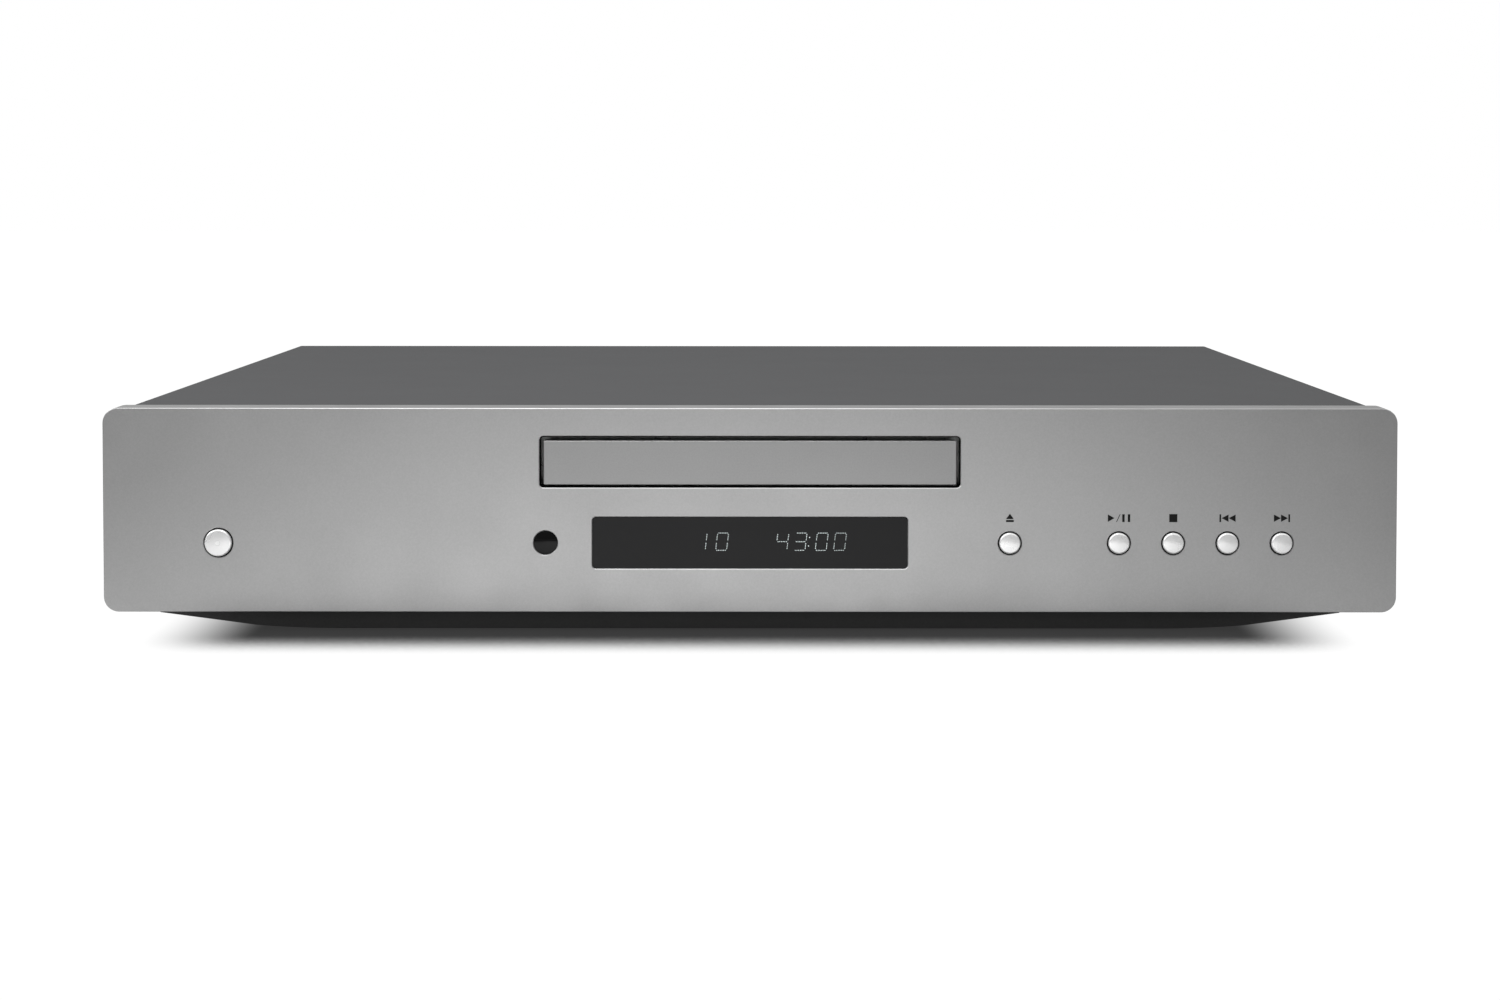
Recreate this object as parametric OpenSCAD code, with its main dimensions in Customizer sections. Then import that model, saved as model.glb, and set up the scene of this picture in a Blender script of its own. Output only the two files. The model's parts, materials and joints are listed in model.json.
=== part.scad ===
// Full-width hi-fi CD player with a motorised disc drawer, built as an assembly of separate pieces.
// Millimetres. X runs along the front from left to right, Y from front to back, Z up from the floor.
// The origin is on the floor, under the middle of the whole player, sockets and buttons included.

/* [Front panel] */
// Width of the front panel
panel_w = 430; // [424:1:450]
// Height of the front panel
panel_h = 68; // [67:0.5:80]
// Depth of the front panel, from its face to its rear edge
panel_d = 11; // [11:0.5:14]
// Thickness of the front panel's face
panel_face_t = 2.5; // [2:0.1:2.8]
// Thickness of the rim that runs round the front panel's back
panel_rim_t = 3; // [2:0.1:4]
// Radius of the front panel's four corners
panel_corner_r = 5; // [4:0.5:8]

/* [Case] */
// How far each side of the case lies inside the front panel's end
cover_inset = 5.3; // [4.5:0.1:9]
// Depth of the case behind the front panel
case_d = 283.8; // [280:1:310]
// Thickness of the case's sheet steel
sheet_t = 1; // [0.8:0.1:1.2]
// Outer radius of the cover's folds
cover_bend_r = 1.8; // [1.5:0.1:3]
// How far the cover's top lies under the front panel's top
cover_drop = 0.4; // [0.2:0.1:1]
// How far the base's underside lies above the front panel's lower edge
base_lift = 1; // [0.5:0.1:2]
// Height of the base's side flanges
base_flange_h = 14; // [10:1:20]
// Height of the lip that the cover turns down over the rear panel
cover_lip_h = 9; // [7:0.5:12]

/* [Feet] */
// Height of the rubber pads
pad_h = 1; // [0.8:0.1:2]
// Height of the front plinth that shows under the front panel
plinth_h = 6; // [4:0.5:8]
// How far each end of the front plinth lies inside the front panel's end
plinth_inset = 18; // [15:0.5:25]
// Length over which each end of the front plinth rises from its level underside
plinth_rise = 46; // [44:0.5:55]
// Depth of the front plinth from front to back
plinth_d = 60; // [50:1:70]
// How far the front plinth lies behind the front panel's face
plinth_setback = 3; // [2:0.5:8]
// Thickness of the front plinth's ends
plinth_tip_h = 0.7; // [0.5:0.1:1]
// Radius of the rear feet
rear_foot_r = 14; // [12:0.5:16]
// Radius of the rubber pads
pad_r = 9; // [8:0.5:10]
// How far the rear feet and the plinth's pads lie inside the front panel's ends
foot_inset = 75; // [73:1:85]
// Distance from the case's back to the rear feet's centres
rear_foot_inset = 40; // [30:1:50]

/* [Drawer opening] */
// Width of the drawer opening
slot_w = 140; // [139:0.5:146]
// Height of the drawer opening
slot_h = 17.2; // [16.5:0.1:19]
// Distance from the front panel's top to the opening's middle
slot_drop = 17.9; // [17:0.1:19]
// Corner radius of the drawer opening
slot_r = 1.4; // [1:0.1:2]
// Gap at each end of the drawer's front, and over it
drawer_gap = 1.3; // [1:0.1:1.5]
// Gap under the drawer's front
drawer_under_gap = 0.9; // [0.8:0.1:1.2]
// Thickness of the drawer's front
drawer_front_t = 4; // [3:0.5:5]
// How far the drawer's front lies behind the front panel's face
drawer_recess = 0.2; // [0:0.1:1.5]

/* [Display and sensor] */
// Width of the display window
window_w = 105; // [100:1:110]
// Height of the display window
window_h = 17.3; // [16:0.1:18]
// Corner radius of the display window
window_r = 1.3; // [0.5:0.1:1.5]
// Distance from the front panel's top to the middle of the window and buttons
controls_drop = 44.9; // [44:0.1:46]
// Distance from the middle to the remote sensor's centre
sensor_x = 68; // [66:0.5:72]
// Radius of the remote sensor's window
sensor_r = 4.05; // [3.5:0.05:4.5]
// How far the windows lie behind the front panel's face
window_recess = 0.4; // [0.2:0.1:0.8]
// Clearance between a window and the hole it fills
window_clear = 0.1; // [0.05:0.05:0.2]
// Thickness of the flange behind a window
window_flange_t = 0.8; // [0.5:0.1:1]

/* [Buttons] */
// Radius of the five small buttons
button_r = 3.5; // [3:0.1:4]
// Radius of the standby button
standby_r = 4.5; // [4:0.1:5]
// Gap round each button in its hole
button_gap = 0.45; // [0.3:0.05:0.6]
// How far the buttons stand out of the front panel
button_proud = 1.2; // [0.8:0.1:2]
// Distance from the middle to the outermost button on each side
button_end_x = 176.8; // [170:0.1:180]
// Spacing of the four transport buttons
button_pitch = 18.05; // [16:0.05:19]
// Distance from the middle to the eject button
eject_x = 86.4; // [80:0.1:95]
// How far the buttons travel
button_travel = 0.5; // [0.3:0.05:0.6]
// Radius of the light pipe in the standby button
light_pipe_r = 0.8; // [0.6:0.1:1]

/* [Disc drawer] */
// Radius of the disc that the drawer takes
disc_r = 60; // [60:0.1:60.2]
// Clearance round the disc in its pocket
disc_clear = 0.6; // [0.5:0.1:1]
// Radius of the inner pocket for small discs
small_pocket_r = 40.6; // [40.5:0.1:41]
// Width of the drawer
tray_w = 131; // [130:0.5:132]
// Height of the drawer's rim over its underside
tray_h = 8.5; // [8:0.1:9]
// Depth of the disc pocket under the rim
pocket_depth = 3; // [2.5:0.1:3.2]
// Depth of the small disc pocket under the large one
small_pocket_depth = 1.3; // [1:0.1:1.3]
// Thickness of the drawer's floor under the small pocket
tray_floor_t = 1.2; // [1:0.1:1.3]
// Thickness of the drawer's side walls
tray_wall_t = 2.5; // [2:0.1:2.5]
// Half the width of the slot that the pickup looks through
tray_slot_r = 21; // [20:0.5:22]
// How far the drawer comes out
tray_travel = 142; // [140:0.5:143]
// Distance from the front panel's face back to the closed disc's centre
disc_setback = 80; // [80:0.5:84]

/* [Drawer mechanism] */
// Running clearance between the drawer and its guides
slide_clear = 0.3; // [0.2:0.05:0.4]
// Thickness of the loader frame's side walls
frame_wall_t = 3.5; // [3:0.1:4]
// Thickness of the loader frame's floor
frame_floor_t = 2; // [1.5:0.1:2.5]
// Radius of the fixed posts that the gears turn on
post_r = 1.5; // [1.2:0.1:1.8]
// Radial clearance of gears on posts and of pins and shafts in bores
run_clear = 0.08; // [0.05:0.01:0.09]
// Tooth module of the drawer's gears
gear_m = 1; // [1:0.01:1.02]
// Teeth on the drive gear's small wheel, which moves the rack
rack_wheel_n = 18; // [18:2:20]
// Teeth on the drive gear's large wheel
drive_wheel_n = 30; // [28:1:32]
// Teeth on the belt pulley's pinion
pulley_pinion_n = 12; // [12:2:14]
// Radius of the large belt pulley
pulley_r = 14; // [12:0.5:14.5]
// Radius of the motor's pulley
motor_pulley_r = 3; // [2.5:0.1:3.5]
// Thickness of the drive belt
belt_t = 1.2; // [1:0.1:1.4]
// Radius of the two flat motors
motor_r = 12.2; // [11:0.1:12.5]
// Height of the loading motor
motor_h = 12.3; // [10:0.1:14]
// How far the cam slider travels sideways
cam_travel = 14; // [13:0.5:15]

/* [Pickup] */
// Distance from the disc's centre back to the pickup frame's hinge
hinge_y = 95; // [94:0.5:96]
// Angle that the pickup frame drops by to let the drawer out
drop_angle = 6.6; // [6.6:0.05:6.8]
// Thickness of the pickup frame
lift_plate_t = 2; // [1.8:0.1:2.2]
// Radius of the turntable
turntable_r = 15.5; // [14:0.5:15.5]
// Height of the nose that centres the disc
nose_h = 2; // [1.6:0.1:2]
// Radius of the nose at its foot
nose_r = 7.4; // [7.3:0.05:7.45]
// Radius of the two guide rods
rod_r = 1.5; // [1.3:0.1:1.5]
// Distance from the disc's centre to the lens at the start of a disc
lens_start = 24; // [24:0.1:24.5]
// How far the pickup travels outwards
sled_travel = 35; // [33:0.5:35]
// Tooth module of the pickup's gears
sled_m = 0.6; // [0.6:0.01:0.61]
// Radius of the clamp puck's pad
puck_r = 15; // [14:0.5:16]

/* [Electronics] */
// Thickness of the circuit boards
board_t = 1.6; // [1.2:0.1:1.8]
// Height of the spacers under the main and power boards
spacer_h = 6; // [5:0.5:8]
// Outer radius of the ring transformer
transformer_r = 38; // [34:0.5:40]
// Radius of the ring transformer's hole
transformer_bore_r = 11; // [9:0.5:13]
// Height of the ring transformer
transformer_h = 32; // [28:0.5:36]

/* [Rear sockets] */
// Length that the phono sockets stand out of the rear panel
jack_len = 10; // [9:0.5:12]
// Outer radius of a phono socket's sleeve
jack_r = 4.15; // [4.1:0.01:4.2]
// Radius of the hole for a phono plug's pin
jack_bore_r = 1.65; // [1.6:0.01:1.7]
// Spacing of the left and right sockets
jack_pitch = 14; // [13:0.5:16]
// Height of the lower sockets over the floor
jack_z = 26; // [25:0.5:30]
// Width of the mains inlet's hollow
inlet_w = 24.2; // [24:0.1:24.6]
// Height of the mains inlet's hollow
inlet_h = 16.6; // [16.2:0.1:17]
// Depth of the mains inlet's hollow
inlet_depth = 16; // [14:0.5:18]
// Distance from the case's side to the mains inlet's centre
inlet_inset = 49.7; // [45:0.1:55]

/* [Hidden] */
$fn = 48;
cut = 0.5;

// Planes of the case, from front to back
overall_d = button_proud + panel_d + case_d - sheet_t + jack_len;
face_y = -overall_d / 2 + button_proud;
panel_back_y = face_y + panel_d;
bracket_back_y = panel_back_y + sheet_t;
case_back_y = panel_back_y + case_d;
rear_out_y = case_back_y - sheet_t;
rear_in_y = rear_out_y - sheet_t;

// Planes of the case, from the floor up
panel_z0 = pad_h + plinth_h;
panel_z1 = panel_z0 + panel_h;
base_z0 = panel_z0 + base_lift;
base_z1 = base_z0 + sheet_t;
cover_z1 = panel_z1 - cover_drop;
cover_in_z = cover_z1 - sheet_t;
case_x = panel_w / 2 - cover_inset;
inner_x = case_x - sheet_t;
plinth_w = panel_w - 2 * plinth_inset;
plinth_flat_w = plinth_w - 2 * plinth_rise;
foot_x = panel_w / 2 - foot_inset;
inlet_x = case_x - inlet_inset;
slot_z = panel_z1 - slot_drop;
controls_z = panel_z1 - controls_drop;

// Drawer and drawer front. The loader's own frame has its origin at the closed disc's centre, on the drawer's underside.
drawer_front_w = slot_w - 2 * drawer_gap;
drawer_front_z0 = slot_z - slot_h / 2 + drawer_under_gap;
drawer_front_h = slot_h - drawer_under_gap - drawer_gap - 0.2;
disc_y = face_y + disc_setback;
tray_z = drawer_front_z0 + 1;
tray_front_y = drawer_recess + drawer_front_t - disc_setback;
pocket_r = disc_r + disc_clear;
pocket_z = tray_h - pocket_depth;
small_pocket_z = pocket_z - small_pocket_depth;
tray_under_z = small_pocket_z - tray_floor_t;
tray_x = tray_w / 2;
tray_slot_end = lens_start + sled_travel + 11;

// Loader frame
frame_y0 = bracket_back_y + 0.5 - disc_y;
frame_x0 = tray_x + slide_clear + 0.2;
frame_x1 = frame_x0 + frame_wall_t;
ledge_x = tray_x - 5.5;
ledge_t = 2;
hinge_z = -3.4;
pin_reach = 25;
pin_r = 1.5;
cam_y1 = -pin_reach;
cam_y0 = cam_y1 - 2;
lift_h = (hinge_y - (cam_y0 + cam_y1) / 2) * tan(drop_angle);
pin_low_z = hinge_z - lift_h;
cam_z0 = pin_low_z - pin_r - 2.2;
frame_z1 = cam_z0 - slide_clear;
frame_z0 = frame_z1 - frame_floor_t;
frame_top_z = tray_h + 0.5;
frame_y1 = hinge_y + 13;
tray_rear_y = hinge_y + 5;
leg_at = [for (x = [-frame_x1 + 8, frame_x1 - 8], y = [frame_y0 + 17, frame_y1 - 10]) [x, y]];
leg_r = 4.5;
opening_y = -pin_reach + 5;
side_strip_x = 52;

// Drawer gears: the rack's wheel runs inside the drawer's hollow underside
gear_y = frame_y0 + 21.5;
rack_back_x = -50;
rack_root_x = rack_back_x + 4;
rack_pitch_x = rack_root_x + 1.2 * gear_m;
gear_x = rack_pitch_x + gear_m * rack_wheel_n / 2;
rack_z0 = 0.3;
rack_wheel_z0 = rack_z0 + 0.1;
rack_wheel_z1 = tray_under_z - 0.4;
drive_wheel_z = [-6, -3];
pulley_x = gear_x + gear_m * (drive_wheel_n + pulley_pinion_n) / 2;
pulley_z = [-12, -9];
belt_gap = 0.2;
motor_x = pulley_x + 38;
rack_pitch = PI * gear_m;

// Cam slider
cam_pin_x = 16;
cam_margin = 5;
cam_rail_x = cam_pin_x + cam_travel + cam_margin;

// Pickup frame, level as it plays. Its plate's middle is the hinge's height.
plate_z1 = hinge_z + lift_plate_t / 2;
plate_z0 = hinge_z - lift_plate_t / 2;
plate_x = 46;
plate_y0 = -pin_reach + 4;
well_x = 30;
well_y0 = lens_start - 7;
well_y1 = lens_start + sled_travel + 18;
rod_x = 25.5;
rod_z = plate_z1 + rod_r + 0.2;
rod_ends = [well_y0 - 4.5, well_y1 + 4.5];
hinge_pin_r = 2;
hinge_pin_x = 57;
seat_z = tray_h - 0.1;
turntable_t = 2.4;
shaft_r = 1;
sled_wheel_n = 20;
sled_drive_n = 30;
sled_pinion_n = 8;
sled_wheel_r = sled_m * sled_wheel_n / 2;
sled_drive_r = sled_m * sled_drive_n / 2;
sled_gear_x = 39;
sled_gear_y = 36;
sled_rack_pitch_x = sled_gear_x - sled_wheel_r;
sled_rack_root_x = sled_rack_pitch_x - 1.2 * sled_m;
sled_drive_z = [plate_z1 + 0.3, plate_z1 + 1.3];
sled_wheel_z = [plate_z1 + 1.5, plate_z1 + 3];
sled_pinion_y = sled_gear_y + sled_drive_r + sled_m * sled_pinion_n / 2;
sled_motor_r = 7.8;
sled_motor_h = 11;
spindle_motor_h = 9;
pickup_z0 = -8;
pickup_z1 = 2.2;
turret_r = 8;
turret_z1 = 5;

// Disc clamp
bridge_z = [tray_h + 3.1, tray_h + 4.3];
bridge_hole_r = 12;
puck_z0 = tray_h + 0.5;
puck_pad_t = 1.6;
puck_top_z = bridge_z[1] + slide_clear;
puck_neck_r = bridge_hole_r - 1.7;
magnet_r = 7.9;
magnet_t = 1.5;
yoke_t = 1.2;

// Button stack, measured back from the front panel's face
flange_y = panel_face_t + 0.3;
flange_t = 1;
stem_end = flange_y + flange_t + 0.6;
switch_y = stem_end + button_travel + 0.3;
switch_t = 2.6;
board_y = switch_y + switch_t;
stem_r = 1.3;
switch_w = 6;
plunger_len = 2.1;

// Display board
board_half_w = button_end_x + 12;
board_half_h = 12.5;
tube_w = window_w - 5;
tube_h = window_h + 4;
tube_gap = 0.3;

// Screw patterns
panel_screw_x = [-panel_w / 2 + 17, -96, 96, panel_w / 2 - 17];
panel_screw_z = [panel_z0 + 6.8, panel_z1 - 8];
panel_screws = [for (x = panel_screw_x, z = panel_screw_z) [x, z]];
board_post_x = [-board_half_w + 28, -window_w / 2 - 30, window_w / 2 + 12, eject_x + button_pitch];
bracket_screw_x = [-plinth_w / 2 - 5, plinth_w / 2 + 5];
bracket_screw_y = panel_back_y + 7;
small_pilot_r = 0.95;
small_screw_clear = 0.05;
screw_r = 1.5;
head_r = 3;
head_t = 1.8;
boss_r = 3.6;
pilot_r = 1.25;

// Circuit boards on the base
board_z0 = base_z1 + spacer_h;
board_z1 = board_z0 + board_t;
main_x = [82, inner_x - 10.2];
main_y = [-70, rear_in_y - 3];
power_x = [-inner_x + 9, -82];
power_y = [panel_back_y + 20, 20];
spacer_r = 3;
spacer_inset = 6;
small_can = [4, 12];
middle_can = [5, 16];
large_can = [8, 26];
small_can_pitch = 14;
large_can_pitch = 20;
sink_w = 60;
sink_h = 30;
sink_fins = 7;
sink_fin_t = 2;
sink_fin_d = 10;
sink_back_t = 3;
transformer_at = [-inner_x + 25.5 + transformer_r, rear_in_y - 40 - transformer_r];
inlet_z = base_z1 + 24;
inlet_wall = 1.4;
inlet_flange_t = 2.5;
inlet_back_y = rear_out_y + inlet_flange_t - inlet_depth - 8;
cable_t = 0.8;
loader_cable_y = [disc_y + 70, disc_y + 86];
jack_x = [main_x[1] - 24, main_x[0] + 26];

function polar(r, a) = [r * cos(a), r * sin(a)];

// Straight-sided teeth on a root circle. A phase of 0.5 turns the wheel by half a tooth.
function gear_outline(m, n, phase) = [
    for (i = [0 : n - 1])
        let (p = 360 / n, a = (i + phase) * p, root = m * (n / 2 - 1.2), tip = m * (n / 2 + 0.9))
            each [polar(root, a - 0.3 * p), polar(tip, a - 0.12 * p), polar(tip, a + 0.12 * p), polar(root, a + 0.3 * p)]
];

function arc(r, a0, a1, steps) = [for (i = [0 : steps]) polar(r, a0 + (a1 - a0) * i / steps)];

// Points of a quadratic curve from a to c that leaves and arrives towards b
function curve(a, b, c, steps) = [for (i = [0 : steps]) let (t = i / steps) a * (1 - t) ^ 2 + b * 2 * t * (1 - t) + c * t ^ 2];

module box(x, y, z) {
    translate([x[0], y[0], z[0]]) cube([x[1] - x[0], y[1] - y[0], z[1] - z[0]]);
}

module mirror_box(x, y, z) {
    for (side = [-1, 1]) {
        box(side > 0 ? x : [-x[1], -x[0]], y, z);
    }
}

module rod_x(r, x, y, z) {
    translate([x[0], y, z]) rotate([0, 90, 0]) cylinder(r = r, h = x[1] - x[0]);
}

module rod_y(r, x, y, z) {
    translate([x, y[0], z]) rotate([-90, 0, 0]) cylinder(r = r, h = y[1] - y[0]);
}

module rod_z(r, x, y, z) {
    translate([x, y, z[0]]) cylinder(r = r, h = z[1] - z[0]);
}

// An outline drawn in X and Z, made solid from y[0] to y[1]
module along_y(y) {
    translate([0, y[1], 0]) rotate([90, 0, 0]) linear_extrude(y[1] - y[0]) children();
}

module along_z(z) {
    translate([0, 0, z[0]]) linear_extrude(z[1] - z[0]) children();
}

module rounded(w, h, r) {
    square([w - 2 * r, h], center = true);
    square([w, h - 2 * r], center = true);
    for (x = [-1, 1], y = [-1, 1]) {
        translate([x * (w / 2 - r), y * (h / 2 - r)]) circle(r);
    }
}

module panel_plate(inset, y) {
    along_y([face_y + y[0], face_y + y[1]])
        translate([0, (panel_z0 + panel_z1) / 2])
            rounded(panel_w - 2 * inset, panel_h - 2 * inset, panel_corner_r - min(inset, panel_corner_r - 1));
}

// Every button: centre, cap radius
function small_button_x(i) = button_end_x - i * button_pitch;
all_buttons = [
    [-button_end_x, standby_r],
    [eject_x, button_r],
    for (i = [0 : 3]) [small_button_x(i), button_r]
];

// ---------------------------------------------------------------- case

module front_panel() {
    color("#a6a7a9") difference() {
        union() {
            difference() {
                panel_plate(0, [0, panel_d]);
                panel_plate(panel_rim_t, [panel_face_t, panel_d + cut]);
            }
            for (at = panel_screws) {
                rod_y(boss_r, at[0], [face_y + panel_face_t - cut, panel_back_y], at[1]);
            }
            for (x = board_post_x) {
                rod_y(boss_r, x, [face_y + panel_face_t - cut, face_y + board_y], controls_z);
            }
        }
        along_y([face_y - cut, face_y + panel_face_t + cut]) {
            translate([0, slot_z]) rounded(slot_w, slot_h, slot_r);
            translate([0, controls_z]) rounded(window_w, window_h, window_r);
        }
        rod_y(sensor_r, -sensor_x, [face_y - cut, face_y + panel_face_t + cut], controls_z);
        for (b = all_buttons) {
            rod_y(b[1] + button_gap, b[0], [face_y - cut, face_y + panel_face_t + cut], controls_z);
        }
        for (at = panel_screws) {
            rod_y(pilot_r, at[0], [panel_back_y - 7, panel_back_y + cut], at[1]);
        }
        for (x = board_post_x) {
            rod_y(small_pilot_r, x, [face_y + board_y - 4, face_y + board_y + cut], controls_z);
        }
    }
}

module display_window() {
    color("#202224") {
        along_y([face_y + window_recess, face_y + panel_face_t])
            translate([0, controls_z]) rounded(window_w - 2 * window_clear, window_h - 2 * window_clear, window_r);
        along_y([face_y + panel_face_t, face_y + panel_face_t + window_flange_t])
            translate([0, controls_z]) square([window_w + 6, window_h + 4], center = true);
    }
}

module sensor_window() {
    color("#101012") {
        rod_y(sensor_r - window_clear, -sensor_x, [face_y + window_recess, face_y + panel_face_t], controls_z);
        rod_y(sensor_r + 1.2, -sensor_x, [face_y + panel_face_t, face_y + panel_face_t + window_flange_t], controls_z);
    }
}

bracket_x = inner_x - 0.2;
bracket_z1 = cover_in_z - 0.3;
mouth_x = tray_x + 3;
mouth_z = [tray_z - 3, tray_z + tray_h + 3];

module front_bracket() {
    color("#8d9094") difference() {
        union() {
            box([-bracket_x, bracket_x], [panel_back_y, bracket_back_y], [base_z1, bracket_z1]);
            box([-bracket_x + sheet_t, bracket_x - sheet_t], [panel_back_y, panel_back_y + 12], [base_z1, base_z1 + sheet_t]);
            box([-bracket_x, bracket_x], [panel_back_y, panel_back_y + 9], [bracket_z1 - sheet_t, bracket_z1]);
        }
        box([-mouth_x, mouth_x], [panel_back_y - cut, bracket_back_y + cut], mouth_z);
        for (x = [-120, 120]) {
            box([x - 14, x + 14], [panel_back_y - cut, bracket_back_y + cut], [controls_z - 8, controls_z + 8]);
        }
        for (at = panel_screws) {
            rod_y(screw_r + 0.2, at[0], [panel_back_y - cut, bracket_back_y + cut], at[1]);
        }
        for (x = bracket_screw_x) {
            rod_z(pilot_r, x, bracket_screw_y, [base_z1 - cut, base_z1 + sheet_t + cut]);
        }
    }
}

module cover_outline(inset, r) {
    top = cover_z1 - inset;
    half = case_x - inset;
    translate([-half, base_z0]) square([2 * half, top - r - base_z0]);
    translate([-half + r, base_z0]) square([2 * half - 2 * r, top - base_z0]);
    for (side = [-1, 1]) {
        translate([side * (half - r), top - r]) circle(r);
    }
}

side_screw_z = base_z0 + base_flange_h / 2 + 1;
side_screw_y = [panel_back_y + 60, case_back_y - 60];
lip_screw_x = [-150, 0, 150];
lip_screw_z = cover_z1 - cover_lip_h / 2 - 0.5;

module top_cover() {
    color("#55575a") difference() {
        union() {
            difference() {
                along_y([panel_back_y, case_back_y]) cover_outline(0, cover_bend_r);
                translate([0, -sheet_t, 0])
                    along_y([panel_back_y, case_back_y]) {
                        cover_outline(sheet_t, cover_bend_r - sheet_t);
                        translate([-case_x + sheet_t, base_z0 - cut]) square([2 * case_x - 2 * sheet_t, 1]);
                    }
                box([-inner_x, inner_x], [rear_out_y - cut, case_back_y + cut], [base_z0 - cut, cover_z1 - cover_lip_h]);
            }
        }
        for (side = [-1, 1], y = side_screw_y) {
            rod_x(screw_r + 0.2, side > 0 ? [inner_x - cut, case_x + cut] : [-case_x - cut, -inner_x + cut], y, side_screw_z);
        }
        for (x = lip_screw_x) {
            rod_y(screw_r + 0.2, x, [rear_out_y - cut, case_back_y + cut], lip_screw_z);
        }
    }
}

vent_pitch = 7;
vent_w = 3;
vent_len = 34;
vent_count = 10;
vent_x = inner_x - 30 - vent_pitch * (vent_count - 1);
vent_y = bracket_back_y + 70;

module chassis_base() {
    color("#9a9da0") difference() {
        union() {
            box([-inner_x, inner_x], [panel_back_y, rear_in_y], [base_z0, base_z1]);
            mirror_box([inner_x - sheet_t, inner_x], [bracket_back_y, rear_in_y], [base_z0, base_z0 + base_flange_h]);
        }
        for (side = [-1, 1], i = [0 : vent_count - 1]) {
            x = side * (vent_x + i * vent_pitch);
            box([x - vent_w / 2, x + vent_w / 2], [vent_y, vent_y + vent_len], [base_z0 - cut, base_z1 + cut]);
        }
        for (side = [-1, 1], y = side_screw_y) {
            rod_x(pilot_r, side > 0 ? [inner_x - sheet_t - cut, inner_x + cut] : [-inner_x - cut, -inner_x + sheet_t + cut], y, side_screw_z);
        }
        for (at = under_screws) {
            rod_z(screw_r + 0.2, at[0], at[1], [base_z0 - cut, base_z1 + cut]);
        }
        rod_z(3.2, transformer_at[0], transformer_at[1], [base_z0 - cut, base_z1 + cut]);
    }
}

module rear_panel() {
    color("#4c4e51") difference() {
        union() {
            box([-inner_x, inner_x], [rear_in_y, rear_out_y], [base_z0, cover_in_z]);
            box([-inner_x + 20, inner_x - 20], [rear_in_y - 9, rear_in_y], [base_z1, base_z1 + sheet_t]);
        }
        box([-inlet_x - inlet_w / 2 - inlet_wall - 0.2, -inlet_x + inlet_w / 2 + inlet_wall + 0.2],
            [rear_in_y - cut, rear_out_y + cut],
            [inlet_z - inlet_h / 2 - inlet_wall - 0.2, inlet_z + inlet_h / 2 + inlet_wall + 0.2]);
        for (at = jacks) {
            rod_y(jack_collar_r + 0.2, at[0], [rear_in_y - cut, rear_out_y + cut], at[1]);
        }
        for (x = lip_screw_x) {
            rod_y(pilot_r, x, [rear_in_y - cut, rear_out_y + cut], lip_screw_z);
        }
        for (x = rear_screw_x) {
            rod_z(pilot_r, x, rear_screw_y, [base_z1 - cut, base_z1 + sheet_t + cut]);
        }
    }
}

rear_screw_x = [-100, 60];
rear_screw_y = rear_in_y - 5;

plinth_y = [face_y + plinth_setback, face_y + plinth_setback + plinth_d];
plinth_pad_y = plinth_y[0] + plinth_d / 2;
plinth_screw_y = plinth_y[1] - 14;
plinth_screw_x = [-90, 90];

module front_plinth() {
    rise = curve([plinth_flat_w / 2 - 14, pad_h], [plinth_flat_w / 2, pad_h], [plinth_flat_w / 2 + 14, pad_h + 1.1], 8);
    right = concat(rise, [[plinth_w / 2, panel_z0 - plinth_tip_h], [plinth_w / 2, panel_z0]]);
    left = [for (i = [len(right) - 1 : -1 : 0]) [-right[i][0], right[i][1]]];
    color("#1d1e20") difference() {
        union() {
            along_y(plinth_y) polygon(concat(right, left));
            box([-plinth_flat_w / 2, plinth_flat_w / 2], [panel_back_y, plinth_y[1]], [panel_z0, base_z0]);
        }
        for (x = plinth_screw_x) {
            rod_z(screw_r + 0.2, x, plinth_screw_y, [pad_h - cut, base_z0 + cut]);
            rod_z(head_r + 0.3, x, plinth_screw_y, [pad_h - cut, pad_h + head_t + 0.4]);
        }
        for (at = leg_at) {
            rod_z(head_r + 0.3, at[0], disc_y + at[1], [base_z0 - head_t - 0.3, base_z0 + cut]);
        }
    }
}

foot_screw_z = pad_h + 2.4;
rear_foot_y = case_back_y - rear_foot_inset;

module rear_feet() {
    color("#1d1e20") for (side = [-1, 1]) {
        translate([side * foot_x, rear_foot_y, 0]) rotate_extrude()
            polygon([
                [pad_r + 0.3, pad_h - 0.5], [rear_foot_r - 2, pad_h - 0.5], [rear_foot_r, pad_h + 1.5], [rear_foot_r, base_z0],
                [screw_r + 0.1, base_z0], [screw_r + 0.1, foot_screw_z + head_t], [head_r + 0.3, foot_screw_z + head_t],
                [head_r + 0.3, pad_h + 0.6], [pad_r + 0.3, pad_h + 0.6]
            ]);
    }
}

module foot_pads() {
    color("#141414") for (side = [-1, 1]) {
        rod_z(pad_r, side * foot_x, rear_foot_y, [0, pad_h + 0.6]);
        rod_z(pad_r, side * foot_x, plinth_pad_y, [0, pad_h]);
    }
}

// A screw that points along +Z, with its head's underside at the origin and a cross cut in the head
module screw(len, shank = pilot_r - 0.05, head = [head_r, head_t]) {
    difference() {
        union() {
            translate([0, 0, -head[1]]) cylinder(r = head[0], h = head[1]);
            cylinder(r = shank, h = len);
        }
        for (a = [0, 90]) {
            rotate([0, 0, a])
                translate([-head[0] * 0.6, -head[0] * 0.13, -head[1] - cut])
                    cube([head[0] * 1.2, head[0] * 0.26, cut + head[1] * 0.55]);
        }
    }
}

module small_screw(len) {
    screw(len, small_pilot_r - small_screw_clear, [1.9, 1.2]);
}

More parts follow.
